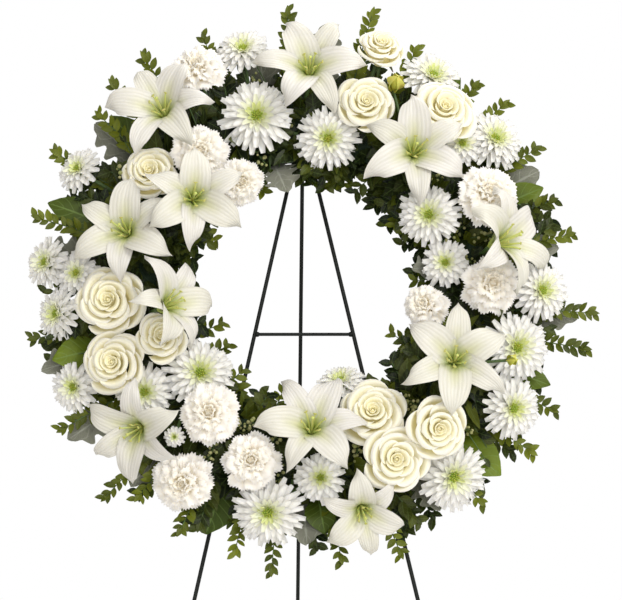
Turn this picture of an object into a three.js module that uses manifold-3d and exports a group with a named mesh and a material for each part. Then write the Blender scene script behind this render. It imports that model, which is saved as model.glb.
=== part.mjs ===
// Standing funeral wreath on its wire easel.
// Millimetres, +Z up. The face of the wreath looks along -Y and leans back with the easel.
import * as THREE from 'three';
import { mergeVertices } from 'three/addons/utils/BufferGeometryUtils.js';
import Module from 'manifold-3d';

const wasm = await Module();
wasm.setup();

// Driving dimensions
const degree = Math.PI / 180;
const gap = 0.3;                    // clearance between pieces that rest on each other
const clearance = 0.5;              // least distance kept between flowers, leaves and stems
const leanBack = 12;                // degrees that the easel's front and the wreath lean back
const ring = { radius: 200, foamWidth: 58, foamFront: 50, trayWall: 2.2, trayRim: 10, facets: 24 };
const easel = {
  wire: 5, crossWire: 4, prongWire: 4.5,
  apexUp: 215,                      // where the front legs' lines meet, up the slope from the ring's centre
  prongClock: 155.4,                // place of the two prongs round the ring, in degrees from the top
  legLength: 1206,                  // slope length from that meeting point to the floor
  legTop: 184, crossbarUp: -44, hingeUp: 170,
  hingeLength: 40, rearAngle: 28, eyeWire: 4.4, tailLength: 22,
  prongLip: 15,
};
const flowerShift = 5;              // the flowers stand a little to the right of the ring's centre
const holeClearance = 0.4;          // room round a stem in its hole in the foam
const stemWidth = 7;                // width of a stem where it leaves the foam
const stemFoot = 26;                // height above the tray's back where a stem ends in the foam

const colours = {
  wire: [0x161a17, 0.45, 0.6], tray: [0x1d3a24, 0.6, 0], foam: [0x2f5a34, 0.95, 0],
  lily: [0xf4f1e8, 0.55, 0], rose: [0xf1e8c8, 0.6, 0], carnation: [0xf2ede2, 0.75, 0],
  mum: [0xf3f3ea, 0.6, 0], greens: [0x2f4a22, 0.6, 0], miller: [0x9aa694, 0.85, 0],
};

// Layout. Clock is in degrees clockwise from the top, seen from the front; radius is from the
// flowers' centre to the middle of the bloom's face; lean tips the face away from the centre.
const bloomColumns = ['clock', 'radius', 'width', 'lean', 'spin', 'forward'];
const lilies = [
  [0, 258, 128, 12, 0, 122], [319.6, 274, 126, 22, 20, 118], [284.7, 227, 126, 14, 10, 124],
  [304.2, 162, 124, -6, 35, 128], [258.3, 155, 117, -40, 26, 118], [229, 276, 118, 34, 15, 112],
  [180.4, 168, 128, -14, 5, 124], [168, 281, 106, 32, 30, 100], [121.3, 190, 130, 0, 25, 128],
  [38.5, 196, 132, 4, 10, 128], [79, 241, 128, 42, 0, 112],
];
const roses = [
  [16.7, 308, 54, 30, 0, 84], [17.3, 226, 66, 6, 20, 104], [37.6, 262, 76, 16, 40, 98],
  [264.5, 237, 78, 12, 10, 104], [249, 184, 56, -4, 30, 108], [247.4, 250, 68, 14, 50, 94],
  [155.8, 167, 74, -10, 15, 108], [156, 233, 70, 8, 35, 98], [141.5, 231, 66, 18, 5, 102],
  [305.3, 231, 60, 8, 25, 96],
];
const carnations = [
  [320.3, 201, 70, 0, 0, 98], [333.2, 298, 72, 26, 20, 80], [63, 236, 76, 12, 10, 98],
  [90.7, 211, 74, 4, 30, 98], [100.5, 132, 56, -26, 5, 84], [325.6, 142, 60, -20, 15, 88],
  [217.3, 196, 76, 0, 25, 96], [198.6, 222, 70, 6, 10, 96], [212.5, 279, 74, 24, 35, 84],
];
// Sprays: the first head of each stands on the main stem
const sprays = [
  [[342.8, 211, 86, 2, 0, 96], [7.1, 175, 74, -8, 10, 88], [344.9, 303, 62, 26, 5, 74]],
  [[46.7, 250, 56, 12, 10, 82], [30.1, 301, 72, 28, 0, 74], [50.9, 289, 74, 26, 20, 72]],
  [[59.4, 160, 74, -10, 0, 90], [80.8, 158, 56, -14, 15, 84]],
  [[107.6, 254, 80, 16, 10, 88], [91.3, 275, 72, 22, 0, 78], [121.9, 280, 72, 26, 5, 78]],
  [[144.1, 283, 80, 26, 0, 78]], [[163.4, 112, 58, -46, 10, 72]],
  [[177.6, 228, 58, 6, 0, 84], [190.8, 275, 80, 24, 10, 80]],
  [[230.6, 165, 80, -8, 0, 90], [236.5, 232, 66, 8, 10, 84], [221, 241, 24, 10, 0, 92]],
  [[263.8, 303, 62, 46, 10, 66], [246.7, 303, 58, 30, 0, 66], [275.6, 316, 60, 40, 5, 62],
    [273, 275, 52, 20, 15, 78]],
  [[297.6, 312, 56, 36, 0, 66]],
];
// Closed lily buds: lily number, clock, radius, length, lean
const buds = [[9, 23, 263, 38, 10], [8, 113, 252, 24, 20]];

// Greens: one branching stem for each sector, with sprigs and broad leaves where they show
const greenSectors = 6;
const sectorGap = 0.7;              // degrees left between one sector's arcs and the next
// Sprigs of small leaves: clock and radius of the tip, height of the tip above the tray's back
const sprigs = [
  [13, 342, 52], [24, 318, 60], [29, 332, 46], [39, 316, 56], [46, 326, 44], [58, 318, 50],
  [70, 306, 56], [78, 314, 48], [95, 331, 46], [103, 327, 58], [117, 316, 50], [127, 320, 44],
  [142, 318, 56], [152, 322, 46], [162, 326, 54], [174, 318, 46], [188, 330, 50], [196, 318, 44],
  [208, 322, 54], [219, 316, 44], [224, 338, 50], [240, 330, 46], [260, 326, 44], [271, 331, 54],
  [285, 329, 46], [299, 340, 50], [310, 322, 56], [317, 338, 46], [325, 338, 54], [338, 329, 46],
  [356, 337, 48],
  [18, 138, 34], [118, 112, 34], [139, 146, 34], [195, 124, 34], [220, 126, 34], [236, 118, 34],
  [249, 112, 34], [270, 128, 34], [300, 128, 34], [336, 134, 34], [52, 132, 34], [84, 128, 34],
];
// Broad leaves: clock and radius of the tip, width, height of the tip
const broadLeaves = [
  [35, 320, 34, 40], [112, 304, 32, 42], [135, 312, 44, 44], [149, 314, 36, 40], [177, 288, 38, 46],
  [203, 312, 48, 38], [224, 322, 32, 40], [254, 312, 40, 42], [289, 326, 36, 40], [346, 327, 36, 40],
  [357, 324, 30, 44], [66, 306, 34, 40], [312, 318, 34, 40], [90, 312, 32, 40],
];
// Lobed leaves that point into the hole: clock and radius of the tip, width, height of the tip
const innerLobed = [[347, 118, 52, 60], [80, 122, 36, 64]];
// Dusty miller: each stem's clock, then its leaves as clock, radius, width and height of the tip
const millers = [
  { clock: 336, leaves: [[4, 330, 52, 36], [349, 306, 46, 48], [325, 300, 46, 48], [309, 326, 52, 34]] },
  { clock: 72, leaves: [[62, 312, 62, 38], [80, 300, 44, 44], [96, 318, 40, 36]] },
  { clock: 160, leaves: [[181, 300, 60, 44], [150, 300, 40, 40], [135, 300, 40, 42]] },
  { clock: 250, leaves: [[238, 332, 52, 36], [253, 327, 48, 44], [279, 318, 48, 36], [222, 312, 44, 46]] },
];

const point = (x, y, z) => new THREE.Vector3(x, y, z);

// A place on the wreath, in the slope's own axes: x right, y up the slope, z forward
function polar(clock, radius, forward) {
  return point(radius * Math.sin(clock * degree), radius * Math.cos(clock * degree), forward);
}

// A flower's place, with the whole spread of flowers shifted a little to the right
function flowerPlace(clock, radius, forward) {
  return polar(clock, radius, forward).add(point(flowerShift, 0, 0));
}

// The upright frame of a bloom: its own z axis is the bloom's axis, its y axis points outward
function bloomFrame(place, clock, lean, spin) {
  const outward = polar(clock, 1, 0);
  const [sine, cosine] = [Math.sin(lean * degree), Math.cos(lean * degree)];
  const axis = outward.clone().multiplyScalar(sine).add(point(0, 0, cosine));
  const up = outward.multiplyScalar(cosine).add(point(0, 0, -sine));
  const side = up.clone().cross(axis);
  const frame = new THREE.Matrix4().makeBasis(side, up, axis).setPosition(place);
  return frame.multiply(new THREE.Matrix4().makeRotationZ(spin * degree));
}

// A closed solid from a three.js geometry, turned face out if its path turned it inside out
function solid(geometry) {
  const bare = geometry.clone();
  bare.deleteAttribute('normal');
  bare.deleteAttribute('uv');
  const merged = mergeVertices(bare, 1e-4);
  const corners = merged.attributes.position.array;
  const faces = merged.index.array.slice();
  let volume = 0;
  const a = point(), b = point(), c = point();
  for (let i = 0; i < faces.length; i += 3) {
    a.fromArray(corners, 3 * faces[i]);
    b.fromArray(corners, 3 * faces[i + 1]);
    c.fromArray(corners, 3 * faces[i + 2]);
    volume += a.dot(b.cross(c));
  }
  if (volume < 0) faces.reverse();
  return new wasm.Manifold(new wasm.Mesh({ numProp: 3, vertProperties: corners, triVerts: faces }));
}

// All of a piece's solids joined in one
function joined(solids) {
  return solids.reduce((whole, next) => whole.add(next));
}

// A skin with one corner at each end: place(turn, along) gives the corners between them
function loft(sides, stations, place) {
  const skin = new THREE.CylinderGeometry(0, 0, 1, sides, stations);
  const { position, uv } = skin.attributes;
  for (let i = 0; i < position.count; i++) {
    const at = place(uv.getX(i), 1 - uv.getY(i));
    position.setXYZ(i, at.x, at.y, at.z);
  }
  return skin;
}

// A bloom and its stem in one skin: the stem tapers down to its root, and above it corners
// stand on rings round the bloom's axis, each ring a function of the side's number
function head(sides, root, rings, top, bend = () => 0) {
  return loft(sides, rings.length + 1, (turn, along) => {
    const station = Math.round(along * (rings.length + 1));
    if (station === 0) return root;
    if (station > rings.length) return point(0, 0, top);
    const side = Math.round(turn * sides) % sides;
    const [radius, height] = rings[station - 1](side);
    const angle = 2 * Math.PI * side / sides + bend(side, station) * degree;
    return point(radius * Math.sin(angle), radius * Math.cos(angle), height);
  });
}

// A blade that grows along a curve in its own upright plane, diamond-shaped across. edgeAt(along,
// side) gives how far its edge lies out from the rib, and how far ahead towards the tip
function blade(curve, edgeAt, thickness, stations, fold) {
  return loft(4, stations, (turn, along) => {
    const at = curve.getPoint(along);
    if (along === 0 || along === 1) return point(0, at.x, at.y);
    const heading = curve.getTangent(along);
    const side = Math.round(Math.sin(2 * Math.PI * turn));
    const [out, ahead] = side ? edgeAt(along, side) : [0, 0];
    const over = Math.cos(2 * Math.PI * turn) * thickness / 2 + fold * out;
    at.addScaledVector(heading, ahead);
    return point(-side * out, at.x - heading.y * over, at.y + heading.x * over);
  });
}

// A round rod along a line of points
function rod(points, width, sides, steps) {
  const outline = new THREE.Shape();
  for (let i = 0; i < sides; i++) {
    const angle = 2 * Math.PI * (i + 0.5) / sides;
    const corner = [width / 2 * Math.cos(angle), width / 2 * Math.sin(angle)];
    if (i === 0) outline.moveTo(...corner);
    else outline.lineTo(...corner);
  }
  const straight = points.length === 2;
  return new THREE.ExtrudeGeometry(outline, {
    steps: straight ? 1 : steps,
    bevelEnabled: false,
    extrudePath: straight ? new THREE.LineCurve3(...points) : new THREE.CatmullRomCurve3(points),
  });
}

// What already stands in the wreath, so that each new stem or leaf is bent clear of it
const placed = [];

function apart(a, b) {
  const one = a.boundingBox(), other = b.boundingBox();
  return [0, 1, 2].some((k) => Math.max(one.min[k] - other.max[k], other.min[k] - one.max[k]) > clearance);
}

function isClear(piece, others = placed) {
  return others.every((other) => apart(piece, other) || piece.minGap(other, 2 * clearance) >= clearance);
}

// Tries the places in turn and keeps the first that is clear of the neighbours. Only a stem may
// enter the foam, so the head alone is tried against the foam
function firstClear(name, places, make, headOnly, others = placed) {
  for (const place of places) {
    const piece = make(place);
    if (isClear(piece, others) && (!headOnly || isClear(headOnly(place), [foam]))) return [piece, place];
  }
  throw new Error(name + ' finds no clear place');
}

// Stems and their holes in the foam
const stemHoles = [];

function pierce(foot, neck, width, sides = 5) {
  const depth = 75;                 // longer than any slanting way through the foam
  const reach = foot.clone().lerp(neck, Math.min(1, depth / foot.distanceTo(neck)));
  const start = foot.clone().add(foot.clone().sub(neck).normalize().multiplyScalar(holeClearance));
  stemHoles.push(solid(rod([start, reach], width + 2 * holeClearance, sides)));
}

// Every stem stands in a hole of its own
const feet = [];
const isOwnHole = (foot) => feet.every((other) => foot.distanceTo(other) > stemWidth + 2 * holeClearance);

// Where a stem ends in the foam for a bloom at this clock and radius
function footOf(clock, radius) {
  const row = THREE.MathUtils.clamp(ring.radius + 0.14 * (radius - ring.radius), 184, 212);
  return polar(clock, row, stemFoot);
}

// Blooms. Each is made about its own axis, with the middle of its face at height 0 and its stem
// running down to a root given in the same axes
function lilyHead(w, root) {
  const size = w / 128;
  const perTepal = (rows) => (side) => rows[side % 4].map((value) => value * size);
  const rings = [
    () => [3 * size, -50 * size],
    perTepal([[13, -27], [30, -8], [42, -3], [30, -8]]),
    perTepal([[19, -16], [43, -2], [64, -8], [43, -2]]),
    perTepal([[11, -20], [28, -1], [42, 2], [28, -1]]),
    () => [2.4 * size, -27 * size],
  ];
  const widen = [0, -5, 0, 5];      // degrees that a tepal's edges stand out to each side
  const bend = (side, station) => (station > 1 && station < rings.length ? widen[side % 4] : 0);
  const skin = head(24, root, rings, 6 * size, bend);
  const [out, knob, offRib] = [18, 4, 0.07];
  const stamens = Array.from({ length: 6 }, (_, i) => solid(loft(3, 2, (turn, along) => {
    if (along === 0) return point(0, 5, -31);
    if (along === 1) return point(0, out, 0);
    const angle = 2 * Math.PI * turn;
    return point(-knob / 2 * Math.sin(angle), out * 0.88, knob / 2 * Math.cos(angle) - 4);
  }).rotateZ((i + 0.5) * Math.PI / 3 + offRib)).scale(size));
  return joined([solid(skin), ...stamens]);
}

// Rings that alternate between petal tips and the notches between them
const petals = (count, radius, dent, height, drop, shift) => (side) =>
  (side + shift) % count === 0 ? [radius * dent, height - drop] : [radius, height];

function roseHead(w, root) {
  return solid(head(15, root, [
    () => [0.05 * w, -0.62 * w], petals(3, 0.5 * w, 0.84, -0.22 * w, 0.07 * w, 0),
    () => [0.36 * w, -0.25 * w],
    petals(3, 0.38 * w, 0.86, -0.06 * w, 0.05 * w, 1), () => [0.25 * w, -0.14 * w],
    petals(3, 0.22 * w, 0.8, 0, 0.04 * w, 2),
  ], -0.07 * w));
}

function carnationHead(w, root) {
  return solid(head(14, root, [
    () => [0.04 * w, -0.5 * w], petals(2, 0.5 * w, 0.86, -0.22 * w, -0.1 * w, 0),
    () => [0.36 * w, -0.14 * w], petals(2, 0.4 * w, 0.8, -0.06 * w, -0.1 * w, 1),
    () => [0.23 * w, -0.04 * w], petals(2, 0.22 * w, 0.62, 0.03 * w, 0.06 * w, 0),
  ], 0));
}

function mumHead(w, root) {
  const neck = () => [2, -0.37 * w];
  const small = [neck, petals(2, 0.5 * w, 0.6, -0.2 * w, -0.03 * w, 0), () => [0.27 * w, -0.13 * w],
    petals(2, 0.36 * w, 0.68, -0.02 * w, 0.02 * w, 1)];
  const large = [neck, petals(2, 0.5 * w, 0.66, -0.24 * w, -0.02 * w, 0), () => [0.32 * w, -0.17 * w],
    petals(2, 0.4 * w, 0.72, -0.1 * w, 0.01 * w, 1), petals(2, 0.24 * w, 0.55, 0, 0.03 * w, 0)];
  const sides = w < 30 ? 10 : 16;
  return solid(head(sides, root, w > 64 ? large : small, -0.05 * w));
}

// A bloom at its place, with its stem running down to a root on the wreath
function bloomAt(make, bloom, forward, root) {
  const place = flowerPlace(bloom.clock, bloom.radius, forward);
  const frame = bloomFrame(place, bloom.clock, bloom.lean, bloom.spin);
  const ownRoot = root.clone().applyMatrix4(frame.clone().invert());
  return make(bloom.width, ownRoot).transform(frame.elements);
}

// The point on a bloom's axis at a depth behind its face
function behindFace(bloom, forward, depth) {
  const place = flowerPlace(bloom.clock, bloom.radius, forward);
  return point(0, 0, -depth).applyMatrix4(bloomFrame(place, bloom.clock, bloom.lean, 0));
}

const named = (row) => Object.fromEntries(bloomColumns.map((column, i) => [column, row[i]]));
const forwardSteps = [0, 4, 8, 12, 16, 20, 24, 28, 32, 36, 42, 48];
const clockShifts = [0, 3, -3, 6, -6, 9, -9];
const mumNeck = 0.37;               // depth of a neck behind the bloom's face, as a share of its width
const carnationNeck = 0.5;
const roseNeck = 0.62;
const lilyNeck = 0.39;

// A single bloom on its own stem: it stands where the layout has it, and moves forward or its
// stem's foot moves round the ring until both are clear of the neighbours
function singleBloom(name, make, neckDepth, bloom, buds = []) {
  const places = forwardSteps.flatMap((step) => clockShifts.map((shift) => [step, shift]));
  const headDepth = neckDepth * bloom.width;
  const build = ([step, shift]) => {
    const forward = bloom.forward + step;
    const foot = footOf(bloom.clock + shift, bloom.radius);
    const stemmed = bloomAt(make, bloom, forward, foot);
    const neck = behindFace(bloom, forward, headDepth);
    return joined([stemmed, ...buds.map((bud) => lilyBud(bud, neck, forward))]);
  };
  const headOnly = ([step]) => {
    const forward = bloom.forward + step;
    return bloomAt(make, bloom, forward, behindFace(bloom, forward, headDepth));
  };
  const ownHole = places.filter(([, shift]) => isOwnHole(footOf(bloom.clock + shift, bloom.radius)));
  const [piece, [step, shift]] = firstClear(name, ownHole, build, headOnly);
  const foot = footOf(bloom.clock + shift, bloom.radius);
  feet.push(foot);
  const neck = behindFace(bloom, bloom.forward + step, headDepth);
  pierce(foot, neck, stemWidth);
  placed.push(piece);
  return { piece, foot, neck };
}

// A closed bud whose stalk leaves the lily's stem at its neck
function lilyBud([, clock, radius, length, lean], neck, forward) {
  const bud = { clock, radius, width: length, lean, spin: 0 };
  const closed = (w, root) => solid(head(6, root, [
    () => [0.11 * w, -0.8 * w], () => [0.19 * w, -0.35 * w],
  ], 0));
  return bloomAt(closed, bud, forward - 20, neck);
}

// A spray: its first head stands on the main stem, and the others on side stems that leave the
// main stem just above the foam
const forkHeight = ring.foamFront + 4;
const highestFork = 0.85;           // share of the main stem, where the stem leans far out

function sprayOf(name, rows) {
  const blooms = rows.map(named);
  const main = singleBloom(name, mumHead, mumNeck, blooms[0]);
  const parts = [main.piece];
  const rise = (forkHeight - main.foot.z) / (main.neck.z - main.foot.z);
  const fork = main.foot.clone().lerp(main.neck, Math.min(rise, highestFork));
  for (const bloom of blooms.slice(1)) {
    const build = (step) => bloomAt(mumHead, bloom, bloom.forward + step, fork);
    const headOnly = (step) => {
      const forward = bloom.forward + step;
      return bloomAt(mumHead, bloom, forward, behindFace(bloom, forward, mumNeck * bloom.width));
    };
    const others = placed.filter((piece) => piece !== main.piece);
    const [piece] = firstClear(name + ' ' + bloom.clock, forwardSteps, build, headOnly, others);
    parts.push(piece);
  }
  placed.splice(placed.indexOf(main.piece), 1);
  const whole = joined(parts);
  placed.push(whole);
  return whole;
}

// Leaves
function leafCurve(length, sag) {
  return new THREE.SplineCurve([
    new THREE.Vector2(0, 0), new THREE.Vector2(length * 0.5, sag), new THREE.Vector2(length, 0),
  ]);
}

// Lays a leaf made along y, face up, from its base towards its tip with its face outward
function layLeaf(leaf, base, tip) {
  const along = tip.clone().sub(base).normalize();
  const side = along.clone().cross(point(0, 0, 1)).normalize();
  const face = side.clone().cross(along);
  return solid(leaf.applyMatrix4(new THREE.Matrix4().makeBasis(side, along, face).setPosition(base)));
}

function broadLeaf(base, tip, width) {
  const length = base.distanceTo(tip);
  const outline = (t) => [0.5 * width * Math.sin(Math.PI * t ** 1.25) ** 0.9, 0];
  return layLeaf(blade(leafCurve(length, length * 0.08), outline, 2.2, 5, 0.16), base, tip);
}

// A dusty miller leaf: deep lobes along both sides of a broad rib
function millerLeaf(base, tip, width) {
  const length = base.distanceTo(tip);
  const stations = 8;
  const outline = (t) => {
    const isLobe = Math.round(t * stations) % 2 === 0;
    const reach = 0.5 * width * Math.sin(Math.PI * (0.12 + 0.8 * t)) ** 0.7;
    return isLobe ? [reach, 0.1 * width] : [0.48 * reach, -0.05 * width];
  };
  return layLeaf(blade(leafCurve(length, length * 0.1), outline, 2.8, stations, 0.14), base, tip);
}

// A sprig: small leaves left and right in turn, cut to the rib in one arched blade
function sprig(base, tip) {
  const length = base.distanceTo(tip);
  const stations = 6;
  const outline = (t, side) => {
    const station = Math.round(t * stations);
    const isLeaf = station > 1 && (station + (side > 0 ? 1 : 0)) % 2 === 0;
    return isLeaf ? [17 - 7 * t, 13] : [1.8, 0];
  };
  return layLeaf(blade(leafCurve(length, length * 0.07), outline, 2.6, stations, 0.1), base, tip);
}

// Angles between two clocks, signed
const turnBetween = (from, to) => ((to - from + 540) % 360) - 180;

// Arcs that carry the leaves round the ring: beside its outer wall and in its hole
const outerArc = { radius: 238, forward: 27 };
const innerArc = { radius: 162, forward: 27 };
const millerArc = { radius: 244, forward: 12 };
const arcWidth = 3.4;
const linkWidth = 3.8;

// An arc grows both ways from its start until it would touch a neighbour or reaches its limits
function growArc({ radius, forward }, start, limits) {
  const stretch = 4;
  const onArc = (clock) => polar(clock, radius, forward);
  const stick = (from, to) => solid(rod([onArc(from), onArc(to)], arcWidth, 3));
  const grows = (way, turn) => isClear(stick(start + way * turn, start + way * (turn + stretch)));
  const ends = limits.map((limit) => {
    const way = Math.sign(limit);
    let turn = 0;
    while (turn + stretch <= Math.abs(limit) && grows(way, turn)) turn += stretch;
    return way * turn;
  });
  const span = ends[1] - ends[0];
  const steps = Math.max(1, Math.ceil(span / 9));
  const clocks = Array.from({ length: steps + 1 }, (_, i) => start + ends[0] + span * i / steps);
  const stem = solid(rod(clocks.map(onArc), arcWidth, 3, steps));
  const reaches = (clock) => {
    const turn = turnBetween(start, clock);
    return turn >= ends[0] - 1 && turn <= ends[1] + 1;
  };
  return { stem, reaches };
}

// A leaf from an arc to its tip, tried at a few heights until it is clear of the neighbours, and
// left out where it never is
const tipSteps = [0, -5, 5, -10, 10, -15, 15, 20, -20, 26, 32];

function leafFrom(arc, [clock, radius, forward], make) {
  const base = polar(clock, arc.radius, arc.forward);
  for (const step of tipSteps) {
    const leaf = make(base, flowerPlace(clock, radius, forward + step));
    if (isClear(leaf)) return leaf;
  }
  return null;
}

// One sector's greens: arcs beside the ring's outer wall and in its hole, tied by a link over
// the foam and rooted in it, with the sprigs and broad leaves that fall in the sector
function greensOf(name, clock, reach) {
  const over = ring.foamFront + 2 * clearance + linkWidth / 2;
  const piece = (from, to) => solid(rod([from, to], linkWidth, 4));
  const linkAt = (at) => joined([
    piece(polar(at, outerArc.radius - 0.6, outerArc.forward), polar(at + 0.1, 235, over + 0.3)),
    piece(polar(at, 236, over), polar(at + 0.2, 164, over)),
    piece(polar(at, innerArc.radius + 0.7, innerArc.forward), polar(at + 0.1, 165, over + 0.3)),
    piece(polar(at, ring.radius, stemFoot), polar(at + 0.1, ring.radius, over + 0.2)),
  ]);
  const stepAside = 1.4;
  const tries = Array.from({ length: 31 }, (_, i) => clock + (i % 2 ? 1 : -1) * Math.ceil(i / 2) * stepAside);
  const [link, at] = firstClear(name + '_link', tries, linkAt);
  pierce(polar(at, ring.radius, stemFoot), polar(at + 0.1, ring.radius, over + 0.2), linkWidth, 4);
  const parts = [link];
  const limits = [clock - reach - at, clock + reach - at];
  for (const side of [outerArc, innerArc]) {
    const arc = growArc(side, at, limits);
    parts.push(arc.stem);
    const isOuter = side === outerArc;
    for (const row of sprigs) {
      if (!arc.reaches(row[0]) || row[1] > ring.radius !== isOuter) continue;
      parts.push(leafFrom(side, row, sprig));
    }
    const makeLeaf = isOuter ? broadLeaf : millerLeaf;
    for (const [tipClock, radius, width, forward] of isOuter ? broadLeaves : innerLobed) {
      if (!arc.reaches(tipClock)) continue;
      parts.push(leafFrom(side, [tipClock, radius, forward], (base, tip) => makeLeaf(base, tip, width)));
    }
  }
  const whole = joined(parts.filter(Boolean));
  placed.push(whole);
  return whole;
}

// A dusty miller stem: an arc along the ring's outer shoulder with lobed leaves
function millerOf(name, { clock, leaves }) {
  const { radius, forward } = millerArc;
  const stubFoot = (at) => polar(at, 206, forward + 8);
  const stubEnd = (at) => polar(at, radius + 1, forward);
  const stubWidth = 3.6;
  const stubAt = (turn) => solid(rod([stubFoot(turn), stubEnd(turn)], stubWidth, 4));
  const tries = [0, 2, -2, 4, -4, 6, -6, 8, -8].map((shift) => clock + shift);
  const [stub, at] = firstClear(name + '_stub', tries, stubAt);
  pierce(stubFoot(at), stubEnd(at), stubWidth, 4);
  const arc = growArc(millerArc, at, [-34, 34]);
  const parts = [stub, arc.stem];
  for (const [tipClock, tipRadius, width, tipForward] of leaves) {
    if (!arc.reaches(tipClock)) continue;
    const lobed = (base, tip) => millerLeaf(base, tip, width);
    parts.push(leafFrom(millerArc, [tipClock, tipRadius, tipForward], lobed));
  }
  const whole = joined(parts.filter(Boolean));
  placed.push(whole);
  return whole;
}

// The ring: a plastic tray behind, and the foam ring in it
function ringSolid(profile) {
  const points = [...profile, profile[0]].map(([radius, forward]) => new THREE.Vector2(radius, forward));
  return solid(new THREE.LatheGeometry(points, ring.facets).rotateX(Math.PI / 2).rotateZ(Math.PI / 2));
}

function traySolid() {
  const half = ring.foamWidth / 2 + gap + ring.trayWall;
  const [inner, outer] = [ring.radius - half, ring.radius + half];
  const wall = ring.trayWall;
  return ringSolid([
    [inner, 0], [outer, 0], [outer, ring.trayRim], [outer - wall, ring.trayRim],
    [outer - wall, wall], [inner + wall, wall], [inner + wall, ring.trayRim], [inner, ring.trayRim],
  ]);
}

function foamSolid() {
  const [inner, outer] = [ring.radius - ring.foamWidth / 2, ring.radius + ring.foamWidth / 2];
  const back = ring.trayWall + gap;
  return ringSolid([[inner, back], [outer, back], [outer, ring.foamFront], [inner, ring.foamFront]]);
}

// The easel, in the slope's axes, with the tray's back in the plane z = 0
const wireBack = -(gap + easel.wire / 2);
const trayOuter = ring.radius + ring.foamWidth / 2 + gap + ring.trayWall;
const facetTurn = 360 / ring.facets;
const offFacet = ((180 - easel.prongClock) % facetTurn) - facetTurn / 2;
const prongRadius = (trayOuter * Math.cos(facetTurn / 2 * degree) + easel.prongWire / 2 + gap)
  / Math.cos(offFacet * degree);
const prongRight = polar(easel.prongClock, prongRadius, 0);
const legSlope = prongRight.x / (easel.apexUp - prongRight.y);
const legX = (up) => legSlope * (easel.apexUp - up);
const floorUp = easel.apexUp - easel.legLength;

// Height above the floor of a point on the slope
const heightOf = (at) => (at.y - floorUp) * Math.cos(leanBack * degree) + at.z * Math.sin(leanBack * degree);

// Cuts a leg's lower end flat on the floor by sliding its last corners along the leg
function standOnFloor(geometry, heading) {
  const { position } = geometry.attributes;
  const corner = point();
  const fall = heightOf(heading.clone().add(point(0, floorUp, 0)));
  for (let i = 0; i < position.count; i++) {
    corner.fromBufferAttribute(position, i);
    if (heightOf(corner) > 60) continue;
    corner.addScaledVector(heading, -heightOf(corner) / fall);
    position.setXYZ(i, corner.x, corner.y, corner.z);
  }
  return geometry;
}

function frontLeg(side) {
  const top = point(side * legX(easel.legTop), easel.legTop, wireBack);
  const foot = point(side * legX(floorUp), floorUp, wireBack);
  const heading = foot.clone().sub(top).normalize();
  return solid(standOnFloor(rod([top, foot], easel.wire, 8), heading));
}

function crossbar() {
  const reach = legX(easel.crossbarUp) - easel.wire / 2 - gap;
  const ends = [-reach, reach].map((x) => point(x, easel.crossbarUp, wireBack));
  return solid(rod(ends, easel.crossWire, 8));
}

function prong(side) {
  const { x, y } = prongRight;
  const front = ring.foamFront + 4 + easel.prongWire / 2;
  const bar = solid(rod([point(side * x, y, gap * 0.5), point(side * x, y, front)], easel.prongWire, 8));
  const up = point(-side * x, -y, 0).normalize();
  const middle = point(side * x, y, front - easel.prongWire / 2);
  const low = middle.clone().addScaledVector(up, -0.42 * easel.prongWire);
  const tip = middle.addScaledVector(up, easel.prongLip);
  return bar.add(solid(rod([low, tip], easel.prongWire, 8)));
}

// The hinge bar lies behind the front legs' tops, and the rear leg's eye turns on it
const hingeBack = wireBack - easel.wire - gap;

function hingeBar() {
  const ends = [-1, 1].map((side) => point(side * easel.hingeLength / 2, easel.hingeUp, hingeBack));
  return solid(rod(ends, easel.wire, 8));
}

const tieUp = easel.legTop + easel.crossWire / 2 + 3 * gap;

function tieBar() {
  const ends = [-1, 1].map((side) => point(side * (legX(tieUp) + 5), tieUp, wireBack));
  return solid(rod(ends, easel.crossWire, 8));
}

function rearLeg() {
  const hinge = point(0, easel.hingeUp, hingeBack);
  const angle = easel.rearAngle * degree;
  const heading = point(0, -Math.cos(angle), -Math.sin(angle));
  const eyeRadius = easel.wire / 2 + gap + easel.eyeWire / 2 + 0.1;
  const eyeHalf = easel.eyeWire / 2;
  const section = [];
  for (let i = 0; i <= 5; i++) {
    const turn = 2 * Math.PI * i / 5;
    section.push(new THREE.Vector2(eyeRadius + eyeHalf * Math.cos(turn), eyeHalf * Math.sin(turn)));
  }
  const eye = new THREE.LatheGeometry(section, 12).rotateZ(Math.PI / 2).translate(...hinge);
  const start = hinge.clone().addScaledVector(heading, eyeRadius);
  const length = heightOf(start) / -heightOf(heading.clone().add(point(0, floorUp, 0)));
  const foot = start.clone().addScaledVector(heading, length);
  const leg = standOnFloor(rod([start, foot], easel.wire, 8), heading);
  const tailBack = wireBack - easel.crossWire / 2 - gap - easel.eyeWire / 2;
  const tail = rod([point(0, hinge.y + easel.wire / 2 + 2 * gap, tailBack),
    point(0, hinge.y + easel.tailLength, tailBack)], easel.eyeWire, 8);
  return joined([solid(eye), solid(leg), solid(tail)]);
}

// Assembly. Everything that leans back sits in one sloping group
const group = new THREE.Group();
const slope = new THREE.Group();
slope.rotation.x = Math.PI / 2 - leanBack * degree;
slope.position.set(0, 0, -floorUp * Math.cos(leanBack * degree));
group.add(slope);

const larger = (one, other) => (other.volume() > one.volume() ? other : one);

function addPiece(name, piece, [color, roughness, metalness]) {
  const { vertProperties, triVerts } = piece.decompose().reduce(larger).getMesh();
  const geometry = new THREE.BufferGeometry();
  geometry.setAttribute('position', new THREE.BufferAttribute(vertProperties, 3));
  geometry.setIndex(new THREE.BufferAttribute(triVerts, 1));
  geometry.computeVertexNormals();
  const mesh = new THREE.Mesh(geometry, new THREE.MeshStandardMaterial({ color, roughness, metalness }));
  mesh.name = name;
  slope.add(mesh);
}

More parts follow.
